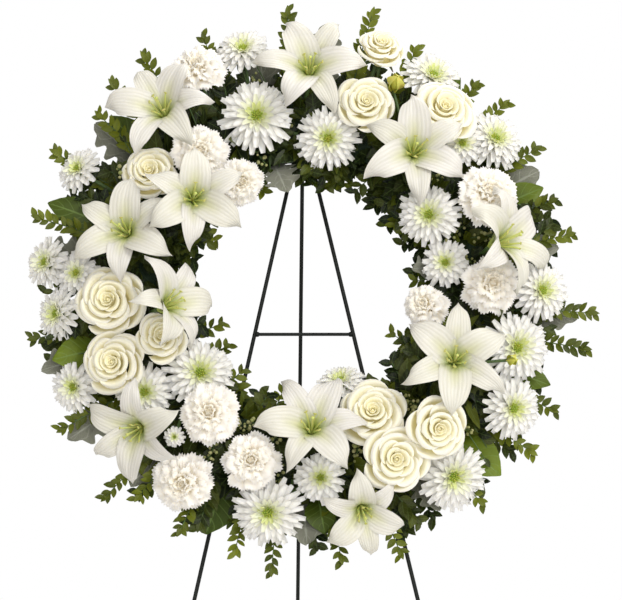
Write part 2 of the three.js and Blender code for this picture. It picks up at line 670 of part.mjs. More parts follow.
const steel = {
  leg_left: frontLeg(-1), leg_right: frontLeg(1), crossbar: crossbar(), hinge_bar: hingeBar(),
  tie_bar: tieBar(), prong_left: prong(-1), prong_right: prong(1), leg_rear: rearLeg(),
};
const tray = traySolid();
const foam = foamSolid();
placed.push(...Object.values(steel), tray);

const number = (i) => String(i + 1).padStart(2, '0');
const flowers = {};
sprays.forEach((spray, i) => {
  const name = 'mum_spray_' + number(i);
  flowers[name] = [sprayOf(name, spray), colours.mum];
});
carnations.forEach((row, i) => {
  const name = 'carnation_' + number(i);
  flowers[name] = [singleBloom(name, carnationHead, carnationNeck, named(row)).piece, colours.carnation];
});
roses.forEach((row, i) => {
  const name = 'rose_' + number(i);
  flowers[name] = [singleBloom(name, roseHead, roseNeck, named(row)).piece, colours.rose];
});
lilies.forEach((row, i) => {
  const name = 'lily_' + number(i);
  const itsBuds = buds.filter(([lily]) => lily === i);
  flowers[name] = [singleBloom(name, lilyHead, lilyNeck, named(row), itsBuds).piece, colours.lily];
});
millers.forEach((row, i) => {
  const name = 'dusty_miller_' + number(i);
  flowers[name] = [millerOf(name, row), colours.miller];
});
const sector = 360 / greenSectors;
for (let i = 0; i < greenSectors; i++) {
  const name = 'greens_' + number(i);
  flowers[name] = [greensOf(name, i * sector, (sector - sectorGap) / 2), colours.greens];
}

for (const [name, piece] of Object.entries(steel)) addPiece(name, piece, colours.wire);
addPiece('ring_tray', tray, colours.tray);
addPiece('foam_ring', stemHoles.reduce((left, hole) => left.subtract(hole), foam), colours.foam);
for (const [name, [piece, colour]] of Object.entries(flowers)) addPiece(name, piece, colour);

// The origin is the middle of the whole object's floor plan
group.updateMatrixWorld(true);
const whole = new THREE.Box3().setFromObject(group, true);
slope.position.x -= (whole.min.x + whole.max.x) / 2;
slope.position.y -= (whole.min.y + whole.max.y) / 2;

export default group;
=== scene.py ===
# Standing funeral wreath on its wire easel: the looks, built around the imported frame
import math
import random

import bpy
import numpy as np
from mathutils import Matrix, Vector


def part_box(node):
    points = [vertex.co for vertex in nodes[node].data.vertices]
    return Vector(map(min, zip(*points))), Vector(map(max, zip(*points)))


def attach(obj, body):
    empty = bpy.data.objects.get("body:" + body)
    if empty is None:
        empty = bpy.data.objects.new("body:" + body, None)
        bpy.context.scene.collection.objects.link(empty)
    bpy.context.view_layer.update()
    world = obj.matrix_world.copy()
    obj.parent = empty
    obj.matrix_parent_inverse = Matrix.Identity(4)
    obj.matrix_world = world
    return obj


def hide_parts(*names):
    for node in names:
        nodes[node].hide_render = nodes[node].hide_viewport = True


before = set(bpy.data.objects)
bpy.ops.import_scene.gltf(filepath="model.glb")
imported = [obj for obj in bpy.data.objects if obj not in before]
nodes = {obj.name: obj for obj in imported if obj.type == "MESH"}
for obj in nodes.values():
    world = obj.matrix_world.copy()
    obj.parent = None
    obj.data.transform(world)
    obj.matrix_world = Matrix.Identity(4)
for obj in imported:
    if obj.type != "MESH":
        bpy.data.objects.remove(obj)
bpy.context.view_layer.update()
mm = 0.001
print("frame loaded:", len(nodes), "nodes")

# Where the flowers stand. All of this is in the wreath's own millimetres: x to the right,
# y up the slope and z forward from the back of the tray, with the ring's centre at 0.
wreath = {
    "leanBack": 12, "trayRim": 10, "ringRadius": 200,
    "flowerShift": 5, "stemFoot": 26, "forkHeight": 54, "highestFork": 0.85,
    "outerArc": (238, 27), "innerArc": (162, 27), "millerArc": (244, 12),
}
forwardSteps = [0, 4, 8, 12, 16, 20, 24, 28, 32, 36, 42, 48]
clockShifts = [0, 3, -3, 6, -6, 9, -9]
tipSteps = [0, -5, 5, -10, 10, -15, 15, 20, -20, 26, 32]

# Each bloom: clock in degrees from the top, radius, width, lean outward, spin, height forward
lilies = [
    (0, 258, 128, 12, 0, 122), (319.6, 274, 126, 22, 20, 118), (284.7, 227, 126, 14, 10, 124),
    (304.2, 162, 124, -6, 35, 128), (258.3, 155, 117, -40, 26, 118), (229, 276, 118, 34, 15, 112),
    (180.4, 168, 128, -14, 5, 124), (168, 281, 106, 32, 30, 100), (121.3, 190, 130, 0, 25, 128),
    (38.5, 196, 132, 4, 10, 128), (79, 241, 128, 42, 0, 112),
]
roses = [
    (16.7, 308, 54, 30, 0, 84), (17.3, 226, 66, 6, 20, 104), (37.6, 262, 76, 16, 40, 98),
    (264.5, 237, 78, 12, 10, 104), (249, 184, 56, -4, 30, 108), (247.4, 250, 68, 14, 50, 94),
    (155.8, 167, 74, -10, 15, 108), (156, 233, 70, 8, 35, 98), (141.5, 231, 66, 18, 5, 102),
    (305.3, 231, 60, 8, 25, 96),
]
carnations = [
    (320.3, 201, 70, 0, 0, 98), (333.2, 298, 72, 26, 20, 80), (63, 236, 76, 12, 10, 98),
    (90.7, 211, 74, 4, 30, 98), (100.5, 132, 56, -26, 5, 84), (325.6, 142, 60, -20, 15, 88),
    (217.3, 196, 76, 0, 25, 96), (198.6, 222, 70, 6, 10, 96), (212.5, 279, 74, 24, 35, 84),
]
sprays = [
    [(342.8, 211, 86, 2, 0, 96), (7.1, 175, 74, -8, 10, 88), (344.9, 303, 62, 26, 5, 74)],
    [(46.7, 250, 56, 12, 10, 82), (30.1, 301, 72, 28, 0, 74), (50.9, 289, 74, 26, 20, 72)],
    [(59.4, 160, 74, -10, 0, 90), (80.8, 158, 56, -14, 15, 84)],
    [(107.6, 254, 80, 16, 10, 88), (91.3, 275, 72, 22, 0, 78), (121.9, 280, 72, 26, 5, 78)],
    [(144.1, 283, 80, 26, 0, 78)],
    [(163.4, 112, 58, -46, 10, 72)],
    [(177.6, 228, 58, 6, 0, 84), (190.8, 275, 80, 24, 10, 80)],
    [(230.6, 165, 80, -8, 0, 90), (236.5, 232, 66, 8, 10, 84), (221, 241, 24, 10, 0, 92)],
    [(263.8, 303, 62, 46, 10, 66), (246.7, 303, 58, 30, 0, 66), (275.6, 316, 60, 40, 5, 62),
     (273, 275, 52, 20, 15, 78)],
    [(297.6, 312, 56, 36, 0, 66)],
]
buds = {9: (23, 263, 38, 10), 8: (113, 252, 24, 20)}    # lily: clock, radius, length, lean

# Leaves: clock and radius of the tip, then width and height of the tip
sprigs = [
    (13, 342, 52), (24, 318, 60), (29, 332, 46), (39, 316, 56), (46, 326, 44), (58, 318, 50),
    (70, 306, 56), (78, 314, 48), (95, 331, 46), (103, 327, 58), (117, 316, 50), (127, 320, 44),
    (142, 318, 56), (152, 322, 46), (162, 326, 54), (174, 318, 46), (188, 330, 50), (196, 318, 44),
    (208, 322, 54), (219, 316, 44), (224, 338, 50), (240, 330, 46), (260, 326, 44), (271, 331, 54),
    (285, 329, 46), (299, 340, 50), (310, 322, 56), (317, 338, 46), (325, 338, 54), (338, 329, 46),
    (356, 337, 48),
    (18, 138, 34), (118, 112, 34), (139, 146, 34), (195, 124, 34), (220, 126, 34), (236, 118, 34),
    (249, 112, 34), (270, 128, 34), (300, 128, 34), (336, 134, 34), (52, 132, 34), (84, 128, 34),
]
broadLeaves = [
    (35, 320, 34, 40), (112, 304, 32, 42), (135, 312, 44, 44), (149, 314, 36, 40),
    (177, 288, 38, 46), (203, 312, 48, 38), (224, 322, 32, 40), (254, 312, 40, 42),
    (289, 326, 36, 40), (346, 327, 36, 40), (357, 324, 30, 44), (66, 306, 34, 40),
    (312, 318, 34, 40), (90, 312, 32, 40),
]
innerLobed = [(347, 118, 52, 60), (80, 122, 36, 64)]
millers = [
    [(4, 330, 52, 36), (349, 306, 46, 48), (325, 300, 46, 48), (309, 326, 52, 34)],
    [(62, 312, 62, 38), (80, 300, 44, 44), (96, 318, 40, 36)],
    [(181, 300, 60, 44), (150, 300, 40, 40), (135, 300, 40, 42)],
    [(238, 332, 52, 36), (253, 327, 48, 44), (279, 318, 48, 36), (222, 312, 44, 46)],
]


# Places on the wreath
def polar(clock, radius, forward):
    angle = math.radians(clock)
    return Vector((radius * math.sin(angle), radius * math.cos(angle), forward))


def flowerPlace(clock, radius, forward):
    return polar(clock, radius, forward) + Vector((wreath["flowerShift"], 0, 0))


def bloomFrame(place, clock, lean, spin):
    outward = polar(clock, 1, 0)
    tip = math.radians(lean)
    axis = outward * math.sin(tip) + Vector((0, 0, math.cos(tip)))
    up = outward * math.cos(tip) - Vector((0, 0, math.sin(tip)))
    side = up.cross(axis)
    turned = Matrix((side, up, axis)).transposed().to_4x4()
    turned.translation = place
    return turned @ Matrix.Rotation(math.radians(spin), 4, "Z")


def slopeFrame():
    lo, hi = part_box("ring_tray")
    lean = math.radians(wreath["leanBack"])
    up = Vector((0, math.sin(lean), math.cos(lean)))
    forward = Vector((0, -math.cos(lean), math.sin(lean)))
    turned = Matrix((Vector((1, 0, 0)), up, forward)).transposed().to_4x4()
    centre = (lo + hi) / 2 - forward * wreath["trayRim"] / 2 * mm
    return Matrix.Translation(centre) @ turned @ Matrix.Scale(mm, 4)


slope = slopeFrame()
unslope = np.array(slope.inverted())


def moved(points, matrix):
    turn = np.array(matrix)
    return points @ turn[:3, :3].T + turn[:3, 3]


ownPoints = {}


def pointsOf(node):
    if node not in ownPoints:
        corners = np.array([v.co for v in nodes[node].data.vertices], float)
        ownPoints[node] = moved(corners, unslope)
    return ownPoints[node]


# The one of these places at which the node has a corner, and how far off it is
def settled(node, places):
    corners = pointsOf(node)
    misses = [np.linalg.norm(corners - np.array(p), axis=1).min() for p in places]
    best = int(np.argmin(misses))
    return best, misses[best]


# Meshes are gathered as arrays: closed thin sheets and tubes with two attributes. blade
# holds along, across and a random number; depth goes from 0 in outer petals to 1 at the heart
def newPiece():
    return {"points": [], "faces": {3: [], 4: []}, "slots": {3: [], 4: []}, "blade": [],
            "depth": [], "count": 0}


sheetFaces = {}


def facesOfSheet(rows, columns):
    if (rows, columns) not in sheetFaces:
        upper = np.arange(rows * columns).reshape(rows, columns)
        lower = upper.copy()
        inner = (rows - 2, columns - 2)
        lower[1:-1, 1:-1] = rows * columns + np.arange(inner[0] * inner[1]).reshape(inner)

        def quads(g):
            corners = [g[:-1, :-1], g[:-1, 1:], g[1:, 1:], g[1:, :-1]]
            return np.stack(corners, -1).reshape(-1, 4)

        sheetFaces[rows, columns] = np.vstack([quads(upper), quads(lower)[:, ::-1]])
    return sheetFaces[rows, columns]


def addPart(piece, points, faces, blade, depth, slot):
    for size, rows in faces.items():
        piece["faces"][size].append(np.asarray(rows) + piece["count"])
        piece["slots"][size].append(np.full(len(rows), slot))
    piece["points"].append(points)
    piece["blade"].append(blade)
    piece["depth"].append(np.full(len(points), depth))
    piece["count"] += len(points)


# A thin closed sheet from a grid of points, rows along the petal and columns across it
def addSheet(piece, grid, matrix, thickness, chance, depth=0.0, slot=0):
    rows, columns = grid.shape[:2]
    normal = np.cross(np.gradient(grid, axis=1), np.gradient(grid, axis=0))
    normal /= np.maximum(np.linalg.norm(normal, axis=2, keepdims=True), 1e-9)
    lower = (grid - normal * thickness)[1:-1, 1:-1].reshape(-1, 3)
    points = np.vstack([grid.reshape(-1, 3), lower])
    along, across = np.meshgrid(np.linspace(0, 1, rows), np.linspace(-1, 1, columns), indexing="ij")
    flat = np.stack([along, across, np.full_like(along, chance)], -1)
    blade = np.vstack([flat.reshape(-1, 3), flat[1:-1, 1:-1].reshape(-1, 3)])
    faces = {4: facesOfSheet(rows, columns)}
    addPart(piece, moved(points, matrix), faces, blade, depth, slot)


# A round rod along points, with its own radius at each, closed by a corner at each end
def addTube(piece, path, radii, sides, matrix=None, chance=0.5, depth=0.0, slot=0):
    path = np.array(path, float)
    stations = len(path)
    heading = np.gradient(path, axis=0)
    heading /= np.maximum(np.linalg.norm(heading, axis=1, keepdims=True), 1e-9)
    side = np.cross(heading[0], [0.31, 0.17, 0.93])
    rings = []
    for k in range(stations):
        side = side - heading[k] * side.dot(heading[k])
        side /= np.linalg.norm(side)
        other = np.cross(heading[k], side)
        turn = np.linspace(0, 2 * math.pi, sides, endpoint=False)[:, None]
        rings.append(path[k] + radii[k] * (np.cos(turn) * side + np.sin(turn) * other))
    points = np.vstack(rings + [path[:1], path[-1:]])
    quads, tris = [], []
    first, last = stations * sides, stations * sides + 1
    for i in range(sides):
        j = (i + 1) % sides
        for k in range(stations - 1):
            quads.append([k * sides + i, k * sides + j, (k + 1) * sides + j, (k + 1) * sides + i])
        tris.append([first, j, i])
        tris.append([last, (stations - 1) * sides + i, (stations - 1) * sides + j])
    if matrix is not None:
        points = moved(points, matrix)
    along = np.concatenate([np.repeat(np.linspace(0, 1, stations), sides), [0, 1]])
    blade = np.stack([along, np.zeros_like(along), np.full_like(along, chance)], -1)
    addPart(piece, points, {4: quads, 3: tris}, blade, depth, slot)


# A round form on a bloom's axis: heights are shares of the width, radii are in millimetres
def addOnAxis(piece, place, width, heights, radii, sides, chance, depth=0.0, slot=0):
    addTube(piece, [(0, 0, z * width) for z in heights], radii, sides, place, chance, depth, slot)


# A smooth line through a few points, at the given shares of its length
def through(points, shares):
    points = np.array(points, float)
    padded = np.vstack([2 * points[0] - points[1], points, 2 * points[-1] - points[-2]])
    place = np.clip(np.array(shares, float), 0, 1) * (len(points) - 1)
    k = np.minimum(place.astype(int), len(points) - 2)
    f = (place - k)[..., None]
    a, b, c, d = (padded[k + i] for i in range(4))
    return 0.5 * (2 * b + (c - a) * f + (2 * a - 5 * b + 4 * c - d) * f ** 2
                  + (3 * b - a - 3 * c + d) * f ** 3)


rimAngle = 75    # a petal's two faces meet sharply at its rim, so that it doesn't shade dark there


def makePiece(name, piece, materials, replaced):
    mesh = bpy.data.meshes.new(name)
    points = moved(np.vstack(piece["points"]), slope)
    mesh.vertices.add(len(points))
    mesh.vertices.foreach_set("co", points.astype(np.float32).ravel())
    corners, starts, slots = [], [], []
    at = 0
    for size in (4, 3):
        if piece["faces"][size]:
            faces = np.vstack(piece["faces"][size])
            corners.append(faces.ravel())
            starts.append(at + np.arange(len(faces)) * size)
            slots.append(np.concatenate(piece["slots"][size]))
            at += faces.size
    mesh.loops.add(at)
    mesh.loops.foreach_set("vertex_index", np.concatenate(corners).astype(np.int32))
    starts = np.concatenate(starts)
    mesh.polygons.add(len(starts))
    mesh.polygons.foreach_set("loop_start", starts.astype(np.int32))
    mesh.polygons.foreach_set("material_index", np.concatenate(slots).astype(np.int32))
    mesh.update(calc_edges=True)
    mesh.validate()
    mesh.shade_smooth()
    mesh.set_sharp_from_angle(angle=math.radians(rimAngle))
    blade = mesh.attributes.new("blade", "FLOAT_VECTOR", "POINT")
    blade.data.foreach_set("vector", np.vstack(piece["blade"]).astype(np.float32).ravel())
    depth = mesh.attributes.new("depth", "FLOAT", "POINT")
    depth.data.foreach_set("value", np.concatenate(piece["depth"]).astype(np.float32))
    for material in materials:
        mesh.materials.append(material)
    made = bpy.data.objects.new(name, mesh)
    bpy.context.scene.collection.objects.link(made)
    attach(made, "frame")
    if replaced:
        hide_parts(*replaced)


# Shader helpers
def addNode(tree, kind, inputs=None, **settings):
    node = tree.nodes.new(kind)
    for key, value in settings.items():
        setattr(node, key, value)
    for key, value in (inputs or {}).items():
        if isinstance(value, bpy.types.NodeSocket):
            tree.links.new(value, node.inputs[key])
        else:
            node.inputs[key].default_value = value
    return node


def mixed(tree, share, first, second):
    tones = [(*c, 1) if isinstance(c, tuple) else c for c in (first, second)]
    return addNode(tree, "ShaderNodeMix", {0: share, 6: tones[0], 7: tones[1]}, data_type="RGBA").outputs[2]


def maths(tree, operation, *values):
    return addNode(tree, "ShaderNodeMath", dict(enumerate(values)), operation=operation).outputs[0]


def ranged(tree, value, low, high, toLow=0.0, toHigh=1.0):
    node = addNode(tree, "ShaderNodeMapRange", {
        "Value": value, "From Min": low, "From Max": high, "To Min": toLow, "To Max": toHigh})
    return node.outputs[0]


def attribute(tree, name):
    node = addNode(tree, "ShaderNodeAttribute", attribute_name=name)
    parts = addNode(tree, "ShaderNodeSeparateXYZ", {0: node.outputs["Vector"]})
    return parts.outputs


def newGroup(name, inputs, outputs):
    tree = bpy.data.node_groups.new(name, "ShaderNodeTree")
    for names, way in ((inputs, "INPUT"), (outputs, "OUTPUT")):
        for socket in names:
            tree.interface.new_socket(socket, in_out=way, socket_type="NodeSocketFloat")
    return tree, tree.nodes.new("NodeGroupInput").outputs, tree.nodes.new("NodeGroupOutput").inputs


def useGroup(tree, group, inputs):
    return addNode(tree, "ShaderNodeGroup", inputs, node_tree=group).outputs


# Fine lines that run along a petal or leaf, bent a little, as a height
def buildLines():
    tree, given, out = newGroup("fine lines", ("Along", "Across", "Lines", "Waver", "Chance"), ("Height",))
    drift = addNode(tree, "ShaderNodeCombineXYZ", {
        "X": maths(tree, "MULTIPLY", given["Along"], 3.0),
        "Y": maths(tree, "MULTIPLY", given["Across"], 2.0), "Z": given["Chance"]})
    noise = addNode(tree, "ShaderNodeTexNoise", {
        "Vector": drift.outputs[0], "Scale": 2.0, "Detail": 2.0})
    bend = maths(tree, "MULTIPLY", noise.outputs["Fac"], given["Waver"])
    turn = maths(tree, "MULTIPLY", maths(tree, "ADD", given["Across"], bend), given["Lines"])
    tree.links.new(ranged(tree, maths(tree, "SINE", turn), -1.0, 1.0), out["Height"])
    return tree


# Uneven tone over a surface, from broad patches and fine grain
def buildMottle():
    tree, given, out = newGroup("mottle", ("Patches", "Grain"), ("Broad", "Fine"))
    place = addNode(tree, "ShaderNodeTexCoord")
    for size, detail, socket in (("Patches", 3.0, "Broad"), ("Grain", 4.0, "Fine")):
        noise = addNode(tree, "ShaderNodeTexNoise", {
            "Vector": place.outputs["Object"], "Scale": given[size], "Detail": detail})
        tree.links.new(ranged(tree, noise.outputs["Fac"], 0.3, 0.7), out[socket])
    return tree


linesGroup = buildLines()
mottleGroup = buildMottle()


def newMaterial(name):
    material = bpy.data.materials.new(name)
    material.use_nodes = True
    tree = material.node_tree
    shader = tree.nodes["Principled BSDF"]
    return material, tree, shader


def bumped(tree, shader, height, strength, distance):
    bump = addNode(tree, "ShaderNodeBump", {
        "Height": height, "Strength": strength, "Distance": distance})
    tree.links.new(bump.outputs["Normal"], shader.inputs["Normal"])


# Links the colour, and a roughness that goes from low to high with the fine grain
def toned(tree, shader, tone, fine, low, high):
    tree.links.new(tone, shader.inputs["Base Color"])
    tree.links.new(ranged(tree, fine, 0.0, 1.0, low, high), shader.inputs["Roughness"])


def setSockets(shader, values):
    for key, value in values.items():
        shader.inputs[key].default_value = value


# Petals: a tip colour, a colour towards the base, a colour for the innermost petals, and lines
def petalMaterial(name, look):
    material, tree, shader = newMaterial(name)
    along, across, chance = attribute(tree, "blade")
    depth = attribute(tree, "depth")[0]
    broad, fine = useGroup(tree, mottleGroup, {"Patches": look["patches"], "Grain": look["grain"]})
    lines = useGroup(tree, linesGroup, {
        "Along": along, "Across": across, "Lines": look["lines"], "Waver": look["waver"],
        "Chance": chance})[0]
    nearBase = ranged(tree, along, look["baseTo"], look["baseFrom"])
    if look["ribOnly"]:
        rib = ranged(tree, maths(tree, "ABSOLUTE", across), look["ribOnly"], 0.0)
        nearBase = maths(tree, "MULTIPLY", nearBase, rib)
    tone = mixed(tree, nearBase, look["tip"], look["base"])
    inner = ranged(tree, depth, look["innerFrom"], 1.0)
    tone = mixed(tree, inner, tone, mixed(tree, nearBase, look["inner"], look["base"]))
    shaded = maths(tree, "MULTIPLY", lines, look["lineTone"])
    tone = mixed(tree, shaded, tone, look["line"])
    nearThroat = ranged(tree, along, look["throatTo"], look["throatFrom"])
    tone = mixed(tree, nearThroat, tone, look["throat"])
    tone = mixed(tree, ranged(tree, broad, 0.0, 1.0, 0.0, look["patch"]), tone, look["line"])
    tone = mixed(tree, ranged(tree, chance, 0.0, 1.0, 0.0, look["tint"]), tone, look["base"])
    toned(tree, shader, tone, fine, look["roughness"] - 0.05, look["roughness"] + 0.08)
    # The petals emit their own colour at the strength through: a painted glow standing in for light that
    # comes through them
    tree.links.new(tone, shader.inputs["Emission Color"])
    setSockets(shader, {
        "Subsurface Weight": look["glow"], "Subsurface Radius": look["glowTone"],
        "Subsurface Scale": look["glowDepth"], "Specular IOR Level": look["specular"],
        "Sheen Weight": look["sheen"], "Emission Strength": look["through"]})
    height = maths(tree, "ADD", lines, maths(tree, "MULTIPLY", fine, look["grainHeight"]))
    bumped(tree, shader, height, look["bump"], look["bumpHeight"])
    return material


def plainPlant(name, look):
    material, tree, shader = newMaterial(name)
    chance = attribute(tree, "blade")[2]
    broad, fine = useGroup(tree, mottleGroup, {"Patches": look["patches"], "Grain": 1100.0})
    tone = mixed(tree, chance, look["first"], look["second"])
    tone = mixed(tree, ranged(tree, broad, 0.0, 1.0, 0.0, 0.6), tone, look["third"])
    toned(tree, shader, tone, fine, look["roughness"], look["roughness"] + 0.15)
    setSockets(shader, {"Subsurface Weight": look["glow"], "Subsurface Scale": 0.002})
    bumped(tree, shader, fine, look["bump"], 0.0005)
    return material


# Leaves: dark or bright green by chance, a paler midrib, side veins and a gloss
def leafMaterial(name, ownLook):
    look = {**leafLook, **ownLook}
    material, tree, shader = newMaterial(name)
    along, across, chance = attribute(tree, "blade")
    broad, fine = useGroup(tree, mottleGroup, {"Patches": look["patches"], "Grain": look["grain"]})
    side = maths(tree, "ABSOLUTE", across)
    slant = maths(tree, "SUBTRACT", along, maths(tree, "MULTIPLY", side, look["slant"]))
    wave = maths(tree, "SINE", maths(tree, "MULTIPLY", slant, look["veins"]))
    veins = maths(tree, "MULTIPLY", ranged(tree, wave, 0.82, 1.0), 0.5)
    mask = maths(tree, "MAXIMUM", veins, ranged(tree, side, *look["rib"]))
    tone = mixed(tree, chance, look["dark"], look["bright"])
    tone = mixed(tree, ranged(tree, broad, 0.0, 1.0, 0.0, look["patch"]), tone, look["third"])
    tone = mixed(tree, maths(tree, "MULTIPLY", mask, look["veinTone"]), tone, look["vein"])
    toned(tree, shader, tone, fine, look["roughness"], look["roughness"] + 0.12)
    setSockets(shader, {
        "Subsurface Weight": look["glow"], "Subsurface Radius": look["glowTone"],
        "Subsurface Scale": look["glowDepth"], "Specular IOR Level": look["specular"],
        "Sheen Weight": look["sheen"]})
    height = maths(tree, "SUBTRACT", maths(tree, "MULTIPLY", fine, look["felt"]), mask)
    bumped(tree, shader, height, look["bump"], look["bumpHeight"])
    return material


# What all leaves share; each leaf below may say otherwise
leafLook = {
    "patches": 30.0, "grain": 800.0, "patch": 0.5, "slant": 0.22, "rib": (0.09, 0.02),
    "glow": 0.05, "glowTone": (0.6, 1.0, 0.3), "glowDepth": 0.002, "specular": 0.2, "sheen": 0.0,
    "felt": 0.3, "bumpHeight": 0.0006,
}
# What all petals share; each flower below may say otherwise. through is a painted glow: the petals emit
# their own colour, standing in for light that comes through them
petalLook = {
    "patches": 22.0, "grain": 900.0, "waver": 0.16, "tint": 0.12, "ribOnly": 0.0, "glow": 0.4,
    "glowTone": (1.0, 0.9, 0.7), "glowDepth": 0.0012, "specular": 0.35, "sheen": 0.1,
    "grainHeight": 0.35, "bumpHeight": 0.0004,
}
petalLooks = {
    "lily": {
        "tip": (0.74, 0.72, 0.685), "base": (0.60, 0.62, 0.24), "inner": (0.74, 0.72, 0.685),
        "line": (0.53, 0.51, 0.43), "baseFrom": 0.22, "baseTo": 0.62, "ribOnly": 0.6,
        "throat": (0.32, 0.42, 0.03), "throatFrom": 0.12, "throatTo": 0.36,
        "innerFrom": 0.5, "lines": 26.0, "lineTone": 0.30, "patch": 0.14, "roughness": 0.42,
        "glow": 0.15, "through": 0.0, "sheen": 0.05, "bump": 0.6},
    "rose": {
        "tip": (0.88, 0.855, 0.78), "base": (0.90, 0.84, 0.56), "inner": (0.91, 0.85, 0.56),
        "line": (0.84, 0.79, 0.66), "baseFrom": 0.45, "baseTo": 1.0,
        "throat": (0.88, 0.79, 0.40), "throatFrom": 0.05, "throatTo": 0.6,
        "innerFrom": 0.2, "lines": 34.0, "lineTone": 0.06, "patch": 0.10, "roughness": 0.55,
        "through": 0.06, "bump": 0.25},
    "carnation": {
        "tip": (0.88, 0.855, 0.815), "base": (0.90, 0.82, 0.67), "inner": (0.90, 0.85, 0.73),
        "line": (0.90, 0.84, 0.74), "baseFrom": 0.3, "baseTo": 0.95,
        "throat": (0.90, 0.80, 0.52), "throatFrom": 0.1, "throatTo": 0.6,
        "innerFrom": 0.3, "lines": 30.0, "lineTone": 0.06, "patch": 0.12, "roughness": 0.7,
        "through": 0.07, "bump": 0.2},
    "mum": {
        "tip": (0.84, 0.825, 0.80), "base": (0.76, 0.76, 0.54), "inner": (0.70, 0.75, 0.30),
        "line": (0.82, 0.83, 0.76), "baseFrom": 0.1, "baseTo": 0.55,
        "throat": (0.46, 0.56, 0.08), "throatFrom": 0.05, "throatTo": 0.35,
        "innerFrom": 0.6, "lines": 9.0, "lineTone": 0.14, "patch": 0.08, "roughness": 0.55,
        "through": 0.03, "sheen": 0.05, "bump": 0.2},
}
petalMaterials = {key: petalMaterial(key + " petal", {**petalLook, **look})
                  for key, look in petalLooks.items()}
stalkGreen = plainPlant("stalk green", {
    "first": (0.05, 0.10, 0.02), "second": (0.09, 0.16, 0.035), "third": (0.04, 0.07, 0.02),
    "patches": 40.0, "roughness": 0.5, "bump": 0.2, "glow": 0.1})
paleGreen = plainPlant("filament green", {
    "first": (0.56, 0.62, 0.16), "second": (0.70, 0.72, 0.30), "third": (0.48, 0.54, 0.12),
    "patches": 60.0, "roughness": 0.45, "bump": 0.1, "glow": 0.2})
pollenBuff = plainPlant("anther buff", {
    "first": (0.46, 0.46, 0.12), "second": (0.58, 0.54, 0.18), "third": (0.38, 0.40, 0.10),
    "patches": 90.0, "roughness": 0.85, "bump": 0.5, "glow": 0.0})
buttonGreen = plainPlant("flower button", {
    "first": (0.42, 0.55, 0.08), "second": (0.62, 0.62, 0.10), "third": (0.30, 0.45, 0.06),
    "patches": 90.0, "roughness": 0.7, "bump": 0.4, "glow": 0.1})
budGreen = plainPlant("bud green", {
    "first": (0.62, 0.62, 0.08), "second": (0.74, 0.70, 0.16), "third": (0.48, 0.54, 0.06),
    "patches": 50.0, "roughness": 0.45, "bump": 0.2, "glow": 0.15})
podOlive = plainPlant("seed pod", {
    "first": (0.30, 0.34, 0.10), "second": (0.52, 0.50, 0.24), "third": (0.22, 0.21, 0.08),
    "patches": 120.0, "roughness": 0.5, "bump": 0.2, "glow": 0.0})
# The dark tone is near black: painted shade for the small leaves deep between the blooms
sprigGreen = leafMaterial("small leaf", {
    "dark": (0.006, 0.011, 0.003), "bright": (0.19, 0.22, 0.013), "third": (0.014, 0.022, 0.004),
    "vein": (0.12, 0.18, 0.05), "veins": 26.0, "veinTone": 0.5, "roughness": 0.38,
    "bump": 0.3})
broadGreen = leafMaterial("broad leaf", {
    "dark": (0.018, 0.035, 0.006), "bright": (0.16, 0.22, 0.014), "third": (0.035, 0.06, 0.009),
    "vein": (0.18, 0.27, 0.07), "veins": 44.0, "veinTone": 0.6, "roughness": 0.35,
    "bump": 0.5})
feltGrey = leafMaterial("felted leaf", {
    "dark": (0.18, 0.185, 0.145), "bright": (0.28, 0.285, 0.23), "third": (0.12, 0.125, 0.09),
    "vein": (0.40, 0.415, 0.35), "veins": 40.0, "veinTone": 0.7, "roughness": 0.85,
    "sheen": 0.12, "felt": 1.0, "bump": 0.6})
print("materials ready")


# A petal whose middle line runs in the plane of the bloom's axis: line gives distance from the
# axis and height, half its half width, lift how far each point stands off that line's surface
def radialPetal(angle, line, half, lift, rows, columns):
    t = np.linspace(0, 1, rows)
    s = np.linspace(-1, 1, columns)
    middle = through(line, t)
    heading = np.gradient(middle, axis=0)
    heading /= np.linalg.norm(heading, axis=1, keepdims=True)
    out = np.array([math.sin(angle), math.cos(angle), 0])
    side = np.array([math.cos(angle), -math.sin(angle), 0])
    up = np.array([0, 0, 1.0])
    centre = middle[:, :1] * out + middle[:, 1:] * up
    normal = -heading[:, 1:] * out + heading[:, :1] * up
    across = half(t)[:, None] * s[None, :]
    raised = lift(t[:, None], s[None, :])
    return (centre[:, None, :] + across[..., None] * side + raised[..., None] * normal[:, None, :])


# A petal that wraps round the bloom's axis: line gives radius and height, reach its half angle,
# and ripple says how much of the ruffle moves it outward and upward
def wrappedPetal(angle, line, reach, corner, spiral, ruffle, ripple, rows, columns):
    t = np.linspace(0, 1, rows)[:, None]
    s = np.linspace(-1, 1, columns)[None, :]
    shortened = t * (1 - corner * np.abs(s) ** 3)
    place = through(line, shortened)
    turn = angle + s * reach * (0.55 + 0.45 * np.sin(math.pi * np.clip(t, 0, 1) / 1.6))
    radius = place[..., 0] * (1 + spiral * s) + ripple[0] * ruffle(t, s)
    height = place[..., 1] + ripple[1] * ruffle(t, s + 0.4)
    return np.stack([radius * np.sin(turn), radius * np.cos(turn), height], -1)


lilyShape = {
    "line": [(0.015, -0.32), (0.045, -0.21), (0.115, -0.11), (0.215, -0.035), (0.325, -0.003),
             (0.425, -0.025), (0.50, -0.115)],
    "innerHalf": 0.130, "outerHalf": 0.100, "thickness": 0.7, "rows": 20, "columns": 11,
    "filaments": 6, "filamentRadius": 0.010, "antherLength": 0.035,
}


